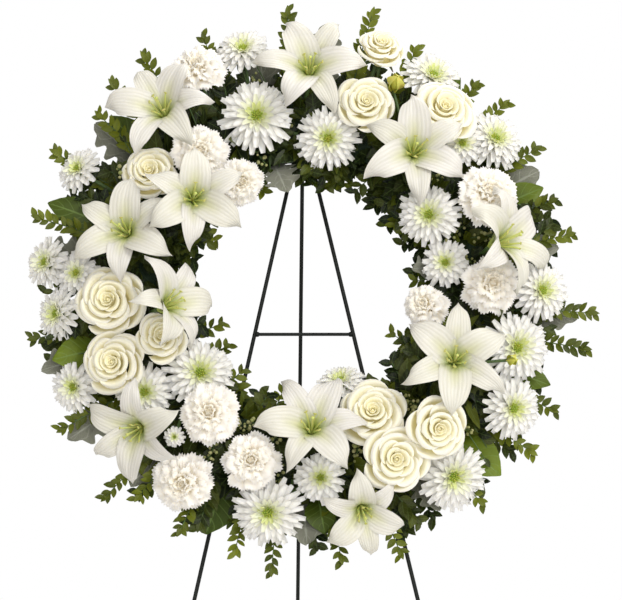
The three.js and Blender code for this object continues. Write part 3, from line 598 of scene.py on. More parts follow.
def addLily(piece, place, w, chance):
    for k in range(6):
        widest = lilyShape["innerHalf"] if k % 2 else lilyShape["outerHalf"]
        angle = math.radians(60 * k + 30 + chance.uniform(-5, 5))
        droop = chance.uniform(-0.07, 0.02)
        longer = chance.uniform(0.94, 1.03)
        line = [(r * w * longer, (z + droop * (r / 0.5) ** 2 + 0.012 * (k % 2)) * w)
                for r, z in lilyShape["line"]]
        phase, wave = chance.uniform(0, 6), chance.uniform(0.008, 0.020)
        twist = chance.uniform(-0.05, 0.05)

        def half(t):
            shape = t ** 0.8 * (1 - t) ** 0.92 / 0.305
            return w * (widest * shape + 0.018 * (1 - t) + 0.002)

        def lift(t, s):
            wrap = 0.45 * (half(t) * s) ** 2 / (through(line, t)[..., 0] + 0.06 * w) * (1 - t) ** 0.7
            turned = -0.035 * s ** 2 * t ** 3
            groove = -0.012 * np.exp(-(s / 0.16) ** 2) * np.sin(math.pi * t)
            ruffle = wave * np.sin(9 * t + phase + 1.5 * s) * np.abs(s) ** 2
            return wrap + w * (turned + groove + ruffle + twist * s * t)

        grid = radialPetal(angle, line, half, lift, lilyShape["rows"], lilyShape["columns"])
        addSheet(piece, grid, place, lilyShape["thickness"], chance.random(), 0.0)
    for k in range(lilyShape["filaments"]):
        angle = math.radians(60 * k + 30 + chance.uniform(-8, 8))
        reach = chance.uniform(0.075, 0.115)
        high = chance.uniform(-0.035, 0.0)
        out = np.array([math.sin(angle), math.cos(angle), 0])
        line = through([(0.012, -0.27), (0.05, -0.15), (reach * 0.75, high - 0.05), (reach, high)],
                       np.linspace(0, 1, 7)) * w
        path = line[:, :1] * out + line[:, 1:] * np.array([0, 0, 1.0])
        radius = lilyShape["filamentRadius"] * w
        addTube(piece, path, np.linspace(radius, radius * 0.7, 7), 6, place, chance.random(), slot=4)
        across = np.array([math.cos(angle), -math.sin(angle), 0.2])
        length = lilyShape["antherLength"] * w
        anther = [path[-1] + across * length * f for f in (-0.5, -0.35, 0, 0.35, 0.5)]
        addTube(piece, anther, [0.3, 0.9, 1.1, 0.9, 0.3], 6, place, chance.random(), slot=2)
    addOnAxis(piece, place, w, (-0.27, -0.15, -0.03, 0.045), (1.1, 0.9, 0.9, 1.0), 7, 0.6, slot=4)
    addOnAxis(piece, place, w, (0.03, 0.042, 0.052, 0.058), (1.0, 1.9, 1.9, 0.8), 6, 0.2, slot=4)


roseShape = {
    "thickness": 0.55, "rows": 13, "columns": 13, "base": -0.60,
    # petals in the whorl, radius and height of the lip, half angle, how far the lip rolls back
    "whorls": [
        (5, 0.46, -0.20, 50, 0.05), (5, 0.36, -0.085, 56, 0.055), (4, 0.25, -0.02, 64, 0.04),
        (3, 0.165, 0.0, 80, 0.022), (3, 0.095, -0.01, 85, 0.008), (2, 0.045, -0.03, 110, 0.0)],
}


def addRose(piece, place, w, chance):
    heart = len(roseShape["whorls"]) - 1
    for ring, (count, lip, height, spread, roll) in enumerate(roseShape["whorls"]):
        start = chance.uniform(0, 360)
        for k in range(count):
            angle = math.radians(start + 360 * k / count + chance.uniform(-8, 8))
            r = lip * chance.uniform(0.95, 1.03)
            z = height + chance.uniform(-0.025, 0.02)
            within = roseShape["whorls"][ring + 1][1] if ring < heart else 0.03
            line = [(0.03, roseShape["base"]), (0.05 + 0.42 * r, -0.50), (within + 0.008, z - 0.13),
                    (0.5 * within + 0.5 * r, z - 0.045), (r, z), (r + roll, z - 0.7 * roll - 0.01)]
            line = [(a * w, b * w) for a, b in line]
            reach = math.radians(spread + chance.uniform(-5, 5))
            phase, curl = chance.uniform(0, 6), 0.014 * w * (1 - ring / heart)

            def ruffle(t, s):
                return t ** 3 * (curl * np.sin(3.4 * s + phase) - 3.2 * curl * s ** 2)

            grid = wrappedPetal(angle, line, reach, 0.24, 0.13, ruffle, (1, 0.35),
                                roseShape["rows"], roseShape["columns"])
            addSheet(piece, grid, place, roseShape["thickness"], chance.random(), ring / heart)
    core = (0.03 * w, 0.035 * w, 0.028 * w, 0.012 * w)
    addOnAxis(piece, place, w, (-0.4, -0.2, -0.1, -0.06), core, 9, 0.5, 1.0)
    for k in range(5):
        angle = math.radians(72 * k + 20)
        line = [(0.03 * w, -0.6 * w), (0.16 * w, -0.6 * w), (0.28 * w, -0.66 * w), (0.36 * w, -0.78 * w)]
        grid = radialPetal(angle, line, lambda t: w * 0.07 * (1 - t) ** 0.7 + 0.2,
                           lambda t, s: 0.02 * w * s ** 2 + 0 * t, 6, 5)
        addSheet(piece, grid, place, 0.5, chance.random(), slot=1)
    cup = (2.4, 0.055 * w, 0.075 * w, 0.05 * w)
    addOnAxis(piece, place, w, (-0.74, -0.68, -0.6, -0.55), cup, 10, 0.4, slot=1)


carnationShape = {
    "thickness": 0.4, "rows": 8, "columns": 19, "teeth": 0.032,
    # petals in the whorl, radius and height of the rim, half angle, depth of the frill
    "whorls": [
        (9, 0.455, -0.21, 27, 0.044), (9, 0.43, -0.11, 27, 0.050), (8, 0.36, -0.03, 30, 0.05),
        (7, 0.275, 0.015, 34, 0.05), (6, 0.19, 0.035, 40, 0.046), (5, 0.11, 0.04, 55, 0.036),
        (4, 0.05, 0.025, 80, 0.03)],
}


def addCarnation(piece, place, w, chance):
    heart = len(carnationShape["whorls"]) - 1
    for ring, (count, rim, height, spread, frill) in enumerate(carnationShape["whorls"]):
        start = chance.uniform(0, 360)
        for k in range(count):
            angle = math.radians(start + 360 * k / count + chance.uniform(-9, 9))
            r = rim * chance.uniform(0.82, 1.05)
            z = height + chance.uniform(-0.05, 0.04)
            line = [(0.02, -0.48), (0.04 + 0.10 * r, -0.34), (0.03 + 0.35 * r, 0.5 * z - 0.15),
                    (0.60 * r, z - 0.015), (0.82 * r, z + 0.01), (r, z - 0.02)]
            line = [(a * w, b * w) for a, b in line]
            reach = math.radians(spread + chance.uniform(-3, 3))
            phase, folds = chance.uniform(0, 6), chance.uniform(4.5, 6.5)
            deep = frill * w

            def ruffle(t, s):
                return deep * t ** 2 * np.sin(folds * s + phase)

            grid = wrappedPetal(angle, line, reach, 0.12, 0.03, ruffle, (0.35, 0.8),
                                carnationShape["rows"], carnationShape["columns"])
            inwards = grid[-2] - grid[-1]
            inwards /= np.maximum(np.linalg.norm(inwards, axis=1, keepdims=True), 1e-6)
            grid[-1, 1::2] += carnationShape["teeth"] * w * inwards[1::2]
            addSheet(piece, grid, place, carnationShape["thickness"], chance.random(), ring / heart)
    core = (0.05 * w, 0.06 * w, 0.045 * w, 0.015 * w)
    addOnAxis(piece, place, w, (-0.4, -0.15, -0.04, -0.015), core, 9, 0.5, 1.0)
    calyx = (2.2, 0.07 * w, 0.095 * w, 0.085 * w, 0.09 * w)
    addOnAxis(piece, place, w, (-0.86, -0.8, -0.66, -0.5, -0.4), calyx, 10, 0.5, slot=1)


mumShape = {
    # petals in the whorl, then radius and height of its root, arch and tip, and its half width
    "whorls": [
        (23, (0.06, -0.30), (0.30, -0.19), (0.495, -0.22), 0.046),
        (21, (0.05, -0.27), (0.26, -0.12), (0.44, -0.13), 0.044),
        (18, (0.05, -0.24), (0.20, -0.07), (0.35, -0.055), 0.040),
        (14, (0.04, -0.22), (0.14, -0.06), (0.25, -0.005), 0.036),
        (10, (0.03, -0.20), (0.09, -0.08), (0.15, -0.01), 0.028),
    ],
    "thickness": 0.45, "rows": 7, "columns": 5, "florets": 21, "fullWidth": 84,
}


def addMum(piece, place, w, chance):
    share = min(1, max(0.6, w / mumShape["fullWidth"]))
    for ring, (most, root, arch, tip, widest) in enumerate(mumShape["whorls"]):
        count = round(most * share)
        for k in range(count):
            angle = 2 * math.pi * (k + 0.5 * (ring % 2) + chance.uniform(-0.22, 0.22)) / count
            longer = chance.uniform(0.86, 1.01)
            rise = chance.uniform(-0.04, 0.035)
            line = [(root[0] * w, root[1] * w), (arch[0] * w * 0.6, (arch[1] - 0.04) * w),
                    (arch[0] * w, (arch[1] + rise * 0.5) * w),
                    (tip[0] * w * longer, (tip[1] + rise) * w)]

            def half(t):
                shape = np.sin(math.pi * np.clip(0.10 + 0.80 * t, 0, 1)) ** 0.6
                return w * (1.12 * widest / share * shape + 0.002)

            def lift(t, s):
                return w * 0.022 * s ** 2 * (0.4 + t)

            grid = radialPetal(angle, line, half, lift, mumShape["rows"], mumShape["columns"])
            addSheet(piece, grid, place, mumShape["thickness"], chance.random(), ring / 4)
    for k in range(mumShape["florets"]):
        turn = math.radians(137.5 * k)
        out = 0.075 * w * math.sqrt((k + 0.5) / mumShape["florets"])
        root = np.array([out * 0.5 * math.sin(turn), out * 0.5 * math.cos(turn), -0.2 * w])
        top = np.array([out * math.sin(turn), out * math.cos(turn), -0.045 * w - 0.3 * out])
        path = [root, root * 0.3 + top * 0.7, top]
        addTube(piece, path, [0.011 * w, 0.015 * w, 0.007 * w], 5, place, chance.random(), slot=2)
    cup = (2.0, 0.07 * w, 0.10 * w, 0.07 * w)
    addOnAxis(piece, place, w, (-0.40, -0.36, -0.30, -0.24), cup, 10, 0.4, slot=1)


def addBud(piece, place, length, chance):
    for k in range(3):
        angle = 2 * math.pi * k / 3
        line = [(0.02 * length, -0.98 * length), (0.15 * length, -0.6 * length),
                (0.17 * length, -0.3 * length), (0.02 * length, 0)]
        grid = radialPetal(angle, line, lambda t: length * (0.17 * np.sin(math.pi * (0.05 + 0.9 * t))),
                           lambda t, s: -length * 0.07 * s ** 2 * np.sin(math.pi * t), 12, 7)
        addSheet(piece, grid, place, 0.8, chance.random(), slot=3)
    core = (0.03 * length, 0.13 * length, 0.14 * length, 0.02 * length)
    addOnAxis(piece, place, length, (-0.98, -0.6, -0.3, -0.06), core, 9, 0.3, slot=3)


def stemBetween(piece, foot, neck, thick, thin):
    shares = np.linspace(0, 1, 6)[:, None]
    path = np.array(foot) * (1 - shares) + np.array(neck) * shares
    addTube(piece, path, np.linspace(thick, thin, 6), 8, None, 0.5, slot=1)


bloomKinds = {
    # how much fuller the petals spread than the solid, the neck's depth behind the face and the
    # height of the solid's pole, both as shares of the width, and the stem's radii
    "lily": {"add": addLily, "fuller": 1.04, "neck": 0.39, "pole": 6 / 128, "stem": (3.0, 2.6)},
    "rose": {"add": addRose, "fuller": 1.07, "neck": 0.62, "pole": -0.07, "stem": (3.0, 2.6)},
    "carnation": {"add": addCarnation, "fuller": 1.14, "neck": 0.5, "pole": 0.0, "stem": (2.8, 2.2)},
    "mum": {"add": addMum, "fuller": 1.11, "neck": 0.37, "pole": -0.05, "stem": (2.6, 2.0)},
}


def footOf(clock, radius):
    row = min(max(wreath["ringRadius"] + 0.14 * (radius - wreath["ringRadius"]), 184), 212)
    return polar(clock, row, wreath["stemFoot"])


def frameAt(bloom, forward):
    clock, radius, width, lean, spin, _ = bloom
    return bloomFrame(flowerPlace(clock, radius, forward), clock, lean, spin)


# The spaces that the faces of the blooms fill, which leaves keep out of
bloomSpaces = []


def inBloom(point):
    for inverse, width in bloomSpaces:
        own = inverse @ point
        if own.z > -0.30 * width and math.hypot(own.x, own.y) < 0.47 * width:
            return True
    return False


# The grey leaves, as lines from base to tip, which the filling leaves don't cover
greySpaces = []


def onGreyLeaf(point):
    for base, tip, width in greySpaces:
        line = tip - base
        share = (point - base).dot(line) / line.length_squared
        beside = point - base.lerp(tip, share)
        if 0.2 < share < 1.05 and math.hypot(beside.x, beside.y) < 0.42 * width and beside.z > -6:
            return True
    return False


# Finds how far forward a bloom stands in the frame, adds it, and returns its place and its neck
def addHead(piece, node, kind, bloom, chance):
    look = bloomKinds[kind]
    pole = Vector((0, 0, look["pole"] * bloom[2]))
    tries = [frameAt(bloom, bloom[5] + step) @ pole for step in forwardSteps]
    best, miss = settled(node, tries)
    if miss > 0.2:
        print("no corner of", node, "at the face of a", kind, bloom, round(miss, 2))
    place = frameAt(bloom, bloom[5] + forwardSteps[best])
    look["add"](piece, place, bloom[2] * look["fuller"], chance)
    bloomSpaces.append((place.inverted(), bloom[2]))
    neck = place @ Vector((0, 0, -look["neck"] * bloom[2]))
    return place, neck


def addSingle(piece, node, kind, bloom, chance):
    place, neck = addHead(piece, node, kind, bloom, chance)
    feet = [footOf(bloom[0] + shift, bloom[1]) for shift in clockShifts]
    foot = feet[settled(node, feet)[0]]
    stemBetween(piece, foot, place @ Vector((0, 0, -(bloomKinds[kind]["neck"] - 0.04) * bloom[2])),
                *bloomKinds[kind]["stem"])
    return foot, neck, place


def bloomPieces():
    for kind, rows in (("lily", lilies), ("rose", roses), ("carnation", carnations)):
        for i, bloom in enumerate(rows):
            chance = random.Random(100 * (len(kind) + 1) + i)
            node = f"{kind}_{i + 1:02d}"
            piece = newPiece()
            _, neck, place = addSingle(piece, node, kind, bloom, chance)
            materials = [petalMaterials[kind], stalkGreen]
            if kind == "lily":
                materials += [pollenBuff, budGreen, paleGreen]
                if i in buds:
                    clock, radius, length, lean = buds[i]
                    forward = place.translation.z - 20
                    own = bloomFrame(flowerPlace(clock, radius, forward), clock, lean, 0)
                    addBud(piece, own, length, chance)
                    stemBetween(piece, neck, own @ Vector((0, 0, -0.95 * length)), 2.0, 1.8)
            makePiece(kind + f"Bloom{i + 1:02d}", piece, materials, [node])
        print(kind, "blooms:", len(rows))
    for i, rows in enumerate(sprays):
        chance = random.Random(900 + i)
        node = f"mum_spray_{i + 1:02d}"
        piece = newPiece()
        foot, neck, _ = addSingle(piece, node, "mum", rows[0], chance)
        rise = (wreath["forkHeight"] - foot.z) / (neck.z - foot.z)
        fork = foot.lerp(neck, min(rise, wreath["highestFork"]))
        for bloom in rows[1:]:
            neck = addHead(piece, node, "mum", bloom, chance)[1]
            stemBetween(piece, fork, neck, 2.0, 2.0)
        makePiece(f"mumSpray{i + 1:02d}", piece, [petalMaterials["mum"], stalkGreen, buttonGreen],
                  [node])
    print("mum sprays:", len(sprays))


bloomPieces()


# Leaves are made along y with their face up, then laid from base to tip
def leafFrame(base, tip):
    along = (tip - base).normalized()
    side = along.cross(Vector((0, 0, 1))).normalized()
    face = side.cross(along)
    laid = Matrix((side, along, face)).transposed().to_4x4()
    laid.translation = base
    return laid


def leafGrid(length, half, sag, fold, ripple, rows, columns):
    t = np.linspace(0, 1, rows)[:, None]
    s = np.linspace(-1, 1, columns)[None, :]
    out = half(t) * np.ones_like(s)
    x = s * out
    y = t * length + 0 * s
    z = sag * 4 * t * (1 - t) + fold * np.abs(s) * out + ripple(t, s)
    return np.stack([x, y, z], -1)


def addBroadLeaf(piece, base, tip, width, chance, bright):
    length = (tip - base).length
    phase = chance.uniform(0, 6)

    def half(t):
        shape = np.sin(math.pi * np.clip(t, 0.02, 0.995) ** 1.25) ** 0.9
        return 0.5 * width * shape + 0.15 + 0.4 * np.abs(np.sin(38 * t))

    def ripple(t, s):
        return 1.6 * np.sin(7 * t + phase + s) * s ** 2 - 0.5 * np.exp(-(s / 0.12) ** 2)

    grid = leafGrid(length, half, length * 0.08, 0.16, ripple, 24, 9)
    addSheet(piece, grid, leafFrame(base, tip), 0.6, bright, slot=2)


def addMillerLeaf(piece, base, tip, width, chance, slot):
    length = (tip - base).length
    lobes = 4
    phase = chance.uniform(0, 6)
    rows, columns = 33, 11

    def half(t):
        reach = 0.5 * width * np.sin(math.pi * (0.12 + 0.8 * t)) ** 0.7
        wave = np.cos(2 * math.pi * lobes * t)
        lobe = 0.52 + 0.48 * np.clip(0.5 + 0.6 * wave, 0.02, 1) ** 0.8
        return reach * lobe * np.minimum(1, (1 - t) * 9 + 0.1)

    grid = leafGrid(length, half, length * 0.1, 0.14,
                    lambda t, s: 1.8 * np.sin(9 * t + phase + 2 * s) * s ** 2, rows, columns)
    across = np.abs(np.linspace(-1, 1, columns))[None, :]
    grid[..., 1] += 0.16 * width * across ** 1.5 * np.linspace(1, 0.1, rows)[:, None]
    addSheet(piece, grid, leafFrame(base, tip), 1.0, chance.random(), slot=slot)


smallLeaf = {"rows": 6, "fillingRows": 5, "columns": 5}


def addSmallLeaf(piece, place, length, half, chance, bright, rows=smallLeaf["fillingRows"]):
    curl = chance.uniform(-0.05, 0.14) * length

    def edge(t):
        return half * np.sin(math.pi * np.clip(t, 0.03, 0.99) ** 0.85) ** 0.75 + 0.1

    grid = leafGrid(length, edge, curl, 0.22, lambda t, s: 0 * t * s, rows, smallLeaf["columns"])
    addSheet(piece, grid, place, 0.4, bright)


# Each look gives the range of how light a sprig's leaves are: at the rim fresh growth lit up as painted
# light, in the filling near black as painted shade
sprigLooks = {
    "edge": {"leaf": 19, "slimmer": 7, "every": 10.5, "share": 0.27, "freshLitAndShaded": (0.45, 1.0), "twig": 1.2,
             "rows": "rows", "longer": 1.1},
    "filling": {"leaf": 21, "slimmer": 6, "every": 11.5, "share": 0.30, "freshLitAndShaded": (0.0, 0.3), "twig": 1.0,
                "rows": "fillingRows"},
}


# A sprig: a twig with small leaves left and right in turn, and one at its tip
def addSprig(piece, base, tip, chance, kind="edge"):
    look = sprigLooks[kind]
    laid = leafFrame(base, tip)
    length = (tip - base).length
    sag = length * 0.07
    shares = np.linspace(0, 1, 8)
    twig = [(0, length * f, sag * 4 * f * (1 - f)) for f in shares * 0.94]
    addTube(piece, twig, np.linspace(look["twig"], 0.5, 8), 6, laid, chance.random(), slot=1)
    pairs = max(4, int(length / look["every"]))
    freshLitAndShaded = chance.uniform(*look["freshLitAndShaded"])
    for k in range(pairs):
        f = 0.2 + 0.72 * k / (pairs - 1)
        for way in (-1, 1):
            size = (look["leaf"] - look["slimmer"] * f) * chance.uniform(0.85, 1.12)
            lean = math.radians(chance.uniform(34, 60)) * way
            roll = chance.uniform(-0.5, 0.5)
            tilt = chance.uniform(-0.35, 0.3)
            tone = min(1, max(0, freshLitAndShaded + chance.uniform(-0.25, 0.25)))
            own = laid @ (
                Matrix.Translation((0, length * (f + 0.03 * way), sag * 4 * f * (1 - f)))
                @ Matrix.Rotation(-lean, 4, "Z") @ Matrix.Rotation(tilt, 4, "X")
                @ Matrix.Rotation(roll, 4, "Y"))
            ends = (own.translation, own @ Vector((0, size, 0)))
            if kind == "filling" and any(inBloom(end) or onGreyLeaf(end) for end in ends):
                continue
            addSmallLeaf(piece, own, size, size * look["share"], chance, tone,
                         smallLeaf[look["rows"]])
    last = Matrix.Translation((0, length * 0.86, sag * 0.4))
    if kind == "edge" or not inBloom(tip):
        addSmallLeaf(piece, laid @ last, length * 0.16, 3.6, chance, freshLitAndShaded)


podLook = {"pods": 17, "size": (1.6, 2.7), "stand": (3, 7), "rings": 5, "sides": 7}


# A seeded twig: round pods on short stalks about a thin twig
def addPods(piece, base, tip, chance):
    laid = leafFrame(base, tip)
    length = (tip - base).length
    addTube(piece, [(0, length * f, 0) for f in (0, 0.35, 0.7, 1)], [1.0, 0.8, 0.7, 0.5], 6, laid, 0.6,
            slot=1)
    for k in range(podLook["pods"]):
        along = length * (0.25 + 0.75 * k / podLook["pods"])
        turn = math.radians(137.5 * k)
        away = Vector((math.cos(turn), 0.45, math.sin(turn))).normalized()
        root = Vector((0, along, 0))
        middle = root + away * chance.uniform(*podLook["stand"])
        size, tone = chance.uniform(*podLook["size"]), chance.random()
        if inBloom(laid @ middle):
            continue
        addTube(piece, [root, middle], [0.35, 0.35], 4, laid, 0.6, slot=1)
        rings = [math.pi * (j + 0.5) / podLook["rings"] for j in range(podLook["rings"])]
        pod = [middle - away * size * math.cos(a) for a in rings]
        addTube(piece, pod, [size * math.sin(a) for a in rings], podLook["sides"], laid, tone, slot=4)


def foundLeaf(node, arc, clock, radius, forward):
    base = polar(clock, arc[0], arc[1])
    tips = [flowerPlace(clock, radius, forward + step) for step in tipSteps]
    best, miss = settled(node, tips)
    return (base, tips[best]) if miss < 0.2 else None


def addArc(piece, arc, clocks):
    if len(clocks) < 2:
        return
    span = np.arange(min(clocks), max(clocks) + 2, 2)
    path = [polar(c, arc[0], arc[1]) for c in span]
    addTube(piece, path, [1.6] * len(path), 6, None, 0.4, slot=1)


def clocksNear(clocks, centre):
    return [centre + ((c - centre + 540) % 360) - 180 for c in clocks]


# Where a part of the node stands, as a clock: the middle of its corners in a range of places
def clockOfCorners(node, radii, forwards):
    corners = pointsOf(node)
    far = np.hypot(corners[:, 0], corners[:, 1])
    chosen = corners[(far > radii[0]) & (far < radii[1])
                     & (corners[:, 2] > forwards[0]) & (corners[:, 2] < forwards[1])]
    if len(chosen):
        return math.degrees(math.atan2(chosen[:, 0].mean(), chosen[:, 1].mean()))
    return None


fill = {
    "carpet": 80, "carpetLength": (20, 34), "carpetHeight": (49, 56),
    "back": 60, "backRoot": (206, 232), "backTip": (258, 296), "backHeight": (6, 34), "backHalf": (8, 13),
    "leaves": 120, "length": (24, 46), "half": (5.5, 10), "root": (168, 232), "rootHeight": (30, 54),
    "outerSprigs": 26, "outerRoot": 227, "outerTip": (262, 312), "outerHeight": (8, 50),
    "innerSprigs": 16, "innerRoot": 173, "innerTip": (128, 148), "innerHeight": (12, 62),
    "sector": 30, "podTwigs": 7, "podRoot": (178, 226), "podTip": (150, 268), "podHeight": (58, 84),
}


# Dark leaves, sprigs and seeded twigs that stand between and behind the blooms and hide the foam; their
# leaves are mostly near black, painted shade for the gaps
def addFill(piece, centre, chance):
    half = fill["sector"]
    for _ in range(fill["carpet"]):
        clock = centre + chance.uniform(-half, half)
        radius = chance.uniform(*fill["root"])
        base = polar(clock, radius, chance.uniform(*fill["carpetHeight"]))
        heading = (polar(clock, chance.uniform(-1, 1), 0) + polar(clock + 90, chance.uniform(-1, 1), 0)
                   + Vector((0, 0, chance.uniform(0.02, 0.3)))).normalized()
        tip = base + heading * chance.uniform(*fill["carpetLength"])
        # Carpet leaves are mostly near black: painted shade in the gaps over the foam
        tone, widest = chance.random() ** 3 * 0.35, chance.uniform(*fill["half"])
        addSmallLeaf(piece, leafFrame(base, tip), (tip - base).length, widest, chance, tone)
    for _ in range(fill["back"]):
        clock = centre + chance.uniform(-half, half)
        base = polar(clock, chance.uniform(*fill["backRoot"]), chance.uniform(*fill["backHeight"]))
        tip = polar(clock + chance.uniform(-9, 9), chance.uniform(*fill["backTip"]),
                    chance.uniform(*fill["backHeight"]))
        # Leaves behind the ring lean dark: painted shade behind the blooms
        widest, tone = chance.uniform(*fill["backHalf"]), chance.random() ** 2 * 0.5
        if not onGreyLeaf(tip):
            addSmallLeaf(piece, leafFrame(base, tip), (tip - base).length, widest, chance, tone)
    for _ in range(fill["leaves"]):
        clock = centre + chance.uniform(-half, half)
        radius = chance.uniform(*fill["root"])
        base = polar(clock, radius, chance.uniform(*fill["rootHeight"]))
        length = chance.uniform(*fill["length"])
        outward = (radius - wreath["ringRadius"]) / 32 + chance.uniform(-0.6, 0.6)
        heading = (polar(clock, outward, 0) + polar(clock + 90, chance.uniform(-0.9, 0.9), 0)
                   + Vector((0, 0, chance.uniform(0.1, 1.1)))).normalized()
        tip = base + heading * length
        far = math.hypot(tip.x, tip.y)
        # Mostly near black: painted shade for the leaves that stand between the blooms
        tone = chance.random() ** 2.5 * 0.6
        roll, widest = chance.uniform(-0.9, 0.9), chance.uniform(*fill["half"])
        if far < 132 or far > 300 or abs(heading.z) > 0.97 or inBloom(tip) or onGreyLeaf(tip):
            continue
        laid = leafFrame(base, tip) @ Matrix.Rotation(roll, 4, "Y")
        addSmallLeaf(piece, laid, length, widest, chance, tone)
    for part in ("outer", "inner"):
        for _ in range(fill[part + "Sprigs"]):
            clock = centre + chance.uniform(-half, half)
            height = chance.uniform(*fill[part + "Height"])
            base = polar(clock, fill[part + "Root"], min(height, 46))
            tip = polar(clock + chance.uniform(-7, 7), chance.uniform(*fill[part + "Tip"]),
                        height + chance.uniform(-6, 12))
            addSprig(piece, base, tip, chance, "filling")
    for _ in range(fill["podTwigs"]):
        clock = centre + chance.uniform(-half, half)
        base = polar(clock, chance.uniform(*fill["podRoot"]), 48)
        tip = polar(clock + chance.uniform(-9, 9), chance.uniform(*fill["podTip"]),
                    chance.uniform(*fill["podHeight"]))
        addPods(piece, base, tip, chance)


def markGreyLeaves():
    groups = [("dusty_miller_", wreath["millerArc"], leaves, i + 1) for i, leaves in enumerate(millers)]
    groups += [("greens_", wreath["innerArc"], innerLobed, i + 1) for i in range(6)]
    for prefix, arc, leaves, number in groups:
        for clock, radius, width, forward in leaves:
            leaf = foundLeaf(f"{prefix}{number:02d}", arc, clock, radius, forward)
            if leaf:
                greySpaces.append((*leaf, width))
    print("grey leaves marked:", len(greySpaces))


def greenPieces():
    for i in range(6):
        chance = random.Random(40 + i)
        node = f"greens_{i + 1:02d}"
        piece = newPiece()
        for arc, outer in ((wreath["outerArc"], True), (wreath["innerArc"], False)):
            bases = []
            for clock, radius, forward in sprigs:
                if (radius > 200) != outer:
                    continue
                leaf = foundLeaf(node, arc, clock, radius, forward)
                if leaf:
                    base, tip = leaf
                    addSprig(piece, base, base.lerp(tip, sprigLooks["edge"]["longer"]), chance)
                    bases.append(clock)
            for clock, radius, width, forward in broadLeaves if outer else innerLobed:
                leaf = foundLeaf(node, arc, clock, radius, forward)
                if leaf and outer:
                    addBroadLeaf(piece, *leaf, width, chance, chance.random())
                elif leaf:
                    addMillerLeaf(piece, *leaf, width, chance, 3)
                if leaf:
                    bases.append(clock)
            link = clockOfCorners(node, (170, 230), (50, 58))
            if link is not None:
                addArc(piece, arc, clocksNear(bases + [link], i * 60))
                ends = [polar(link, arc[0], arc[1]), polar(link, arc[0] * 0.99 if outer else 165, 53),
                        polar(link, 200, 53)]
                addTube(piece, ends, [1.7, 1.7, 1.7], 6, None, 0.4, slot=1)
                peg = [polar(link, 200, 27), polar(link, 200, 53)]
                addTube(piece, peg, [1.7, 1.7], 6, None, 0.4, slot=1)
        addFill(piece, i * 60, chance)
        makePiece(f"greenery{i + 1:02d}", piece, [sprigGreen, stalkGreen, broadGreen, feltGrey, podOlive],
                  [node])
    print("greenery ready")
    for i, leaves in enumerate(millers):
        chance = random.Random(70 + i)
        node = f"dusty_miller_{i + 1:02d}"
        piece = newPiece()
        bases = []
        for clock, radius, width, forward in leaves:
            leaf = foundLeaf(node, wreath["millerArc"], clock, radius, forward)
            if leaf:
                addMillerLeaf(piece, *leaf, width, chance, 0)
                bases.append(clock)
        stub = clockOfCorners(node, (200, 212), (10, 30))
        if stub is not None:
            around = clocksNear(bases + [stub], stub)
            addArc(piece, wreath["millerArc"], around)
            peg = [polar(stub, 206, 20), polar(stub, 245, 12)]
            addTube(piece, peg, [1.8, 1.8], 6, None, 0.4, slot=1)
        makePiece(f"dustyMiller{i + 1:02d}", piece, [feltGrey, stalkGreen], [node])
    print("dusty miller ready")


markGreyLeaves()
greenPieces()


# Foam, tray and wire keep their CAD solids, with their own finishes
foamLook = {
    "cells": 700.0, "patches": 18.0, "grain": 500.0, "shadedPit": (0.008, 0.018, 0.008),
    "wall": (0.02, 0.045, 0.018), "patch": (0.012, 0.028, 0.012), "roughness": (0.85, 1.0),
    "bump": 0.9, "bumpHeight": 0.0015,
}
trayLook = {
    "patches": 14.0, "grain": 1400.0, "first": (0.010, 0.036, 0.016), "second": (0.016, 0.050, 0.022),
    "litCrest": (0.022, 0.062, 0.030), "litCrestShare": 0.35, "roughness": (0.42, 0.58),
    "ridges": 11.0, "ridgeHeight": 0.0012, "ridgeStrength": 0.8,
}
wireLook = {
    "patches": 60.0, "grain": 900.0, "first": (0.004, 0.006, 0.005), "second": (0.007, 0.010, 0.008),
    "roughness": (0.56, 0.62), "specular": 0.25, "bump": 0.03, "bumpHeight": 0.0001,
}


def foamMaterial():
    look = foamLook
    material, tree, shader = newMaterial("floral foam")
    place = addNode(tree, "ShaderNodeTexCoord").outputs["Object"]
    cells = addNode(tree, "ShaderNodeTexVoronoi", {"Vector": place, "Scale": look["cells"]})
    distance = cells.outputs["Distance"]
    broad, fine = useGroup(tree, mottleGroup, {"Patches": look["patches"], "Grain": look["grain"]})
    # Each cell's pit is coloured darker than its wall: painted shade in the foam's open cells
    tone = mixed(tree, ranged(tree, distance, 0.0, 0.8), look["shadedPit"], look["wall"])
    toned(tree, shader, mixed(tree, broad, tone, look["patch"]), fine, *look["roughness"])
    bumped(tree, shader, distance, look["bump"], look["bumpHeight"])
    return material


def vectorMaths(tree, operation, first, second):
    return addNode(tree, "ShaderNodeVectorMath", {0: first, 1: second}, operation=operation).outputs


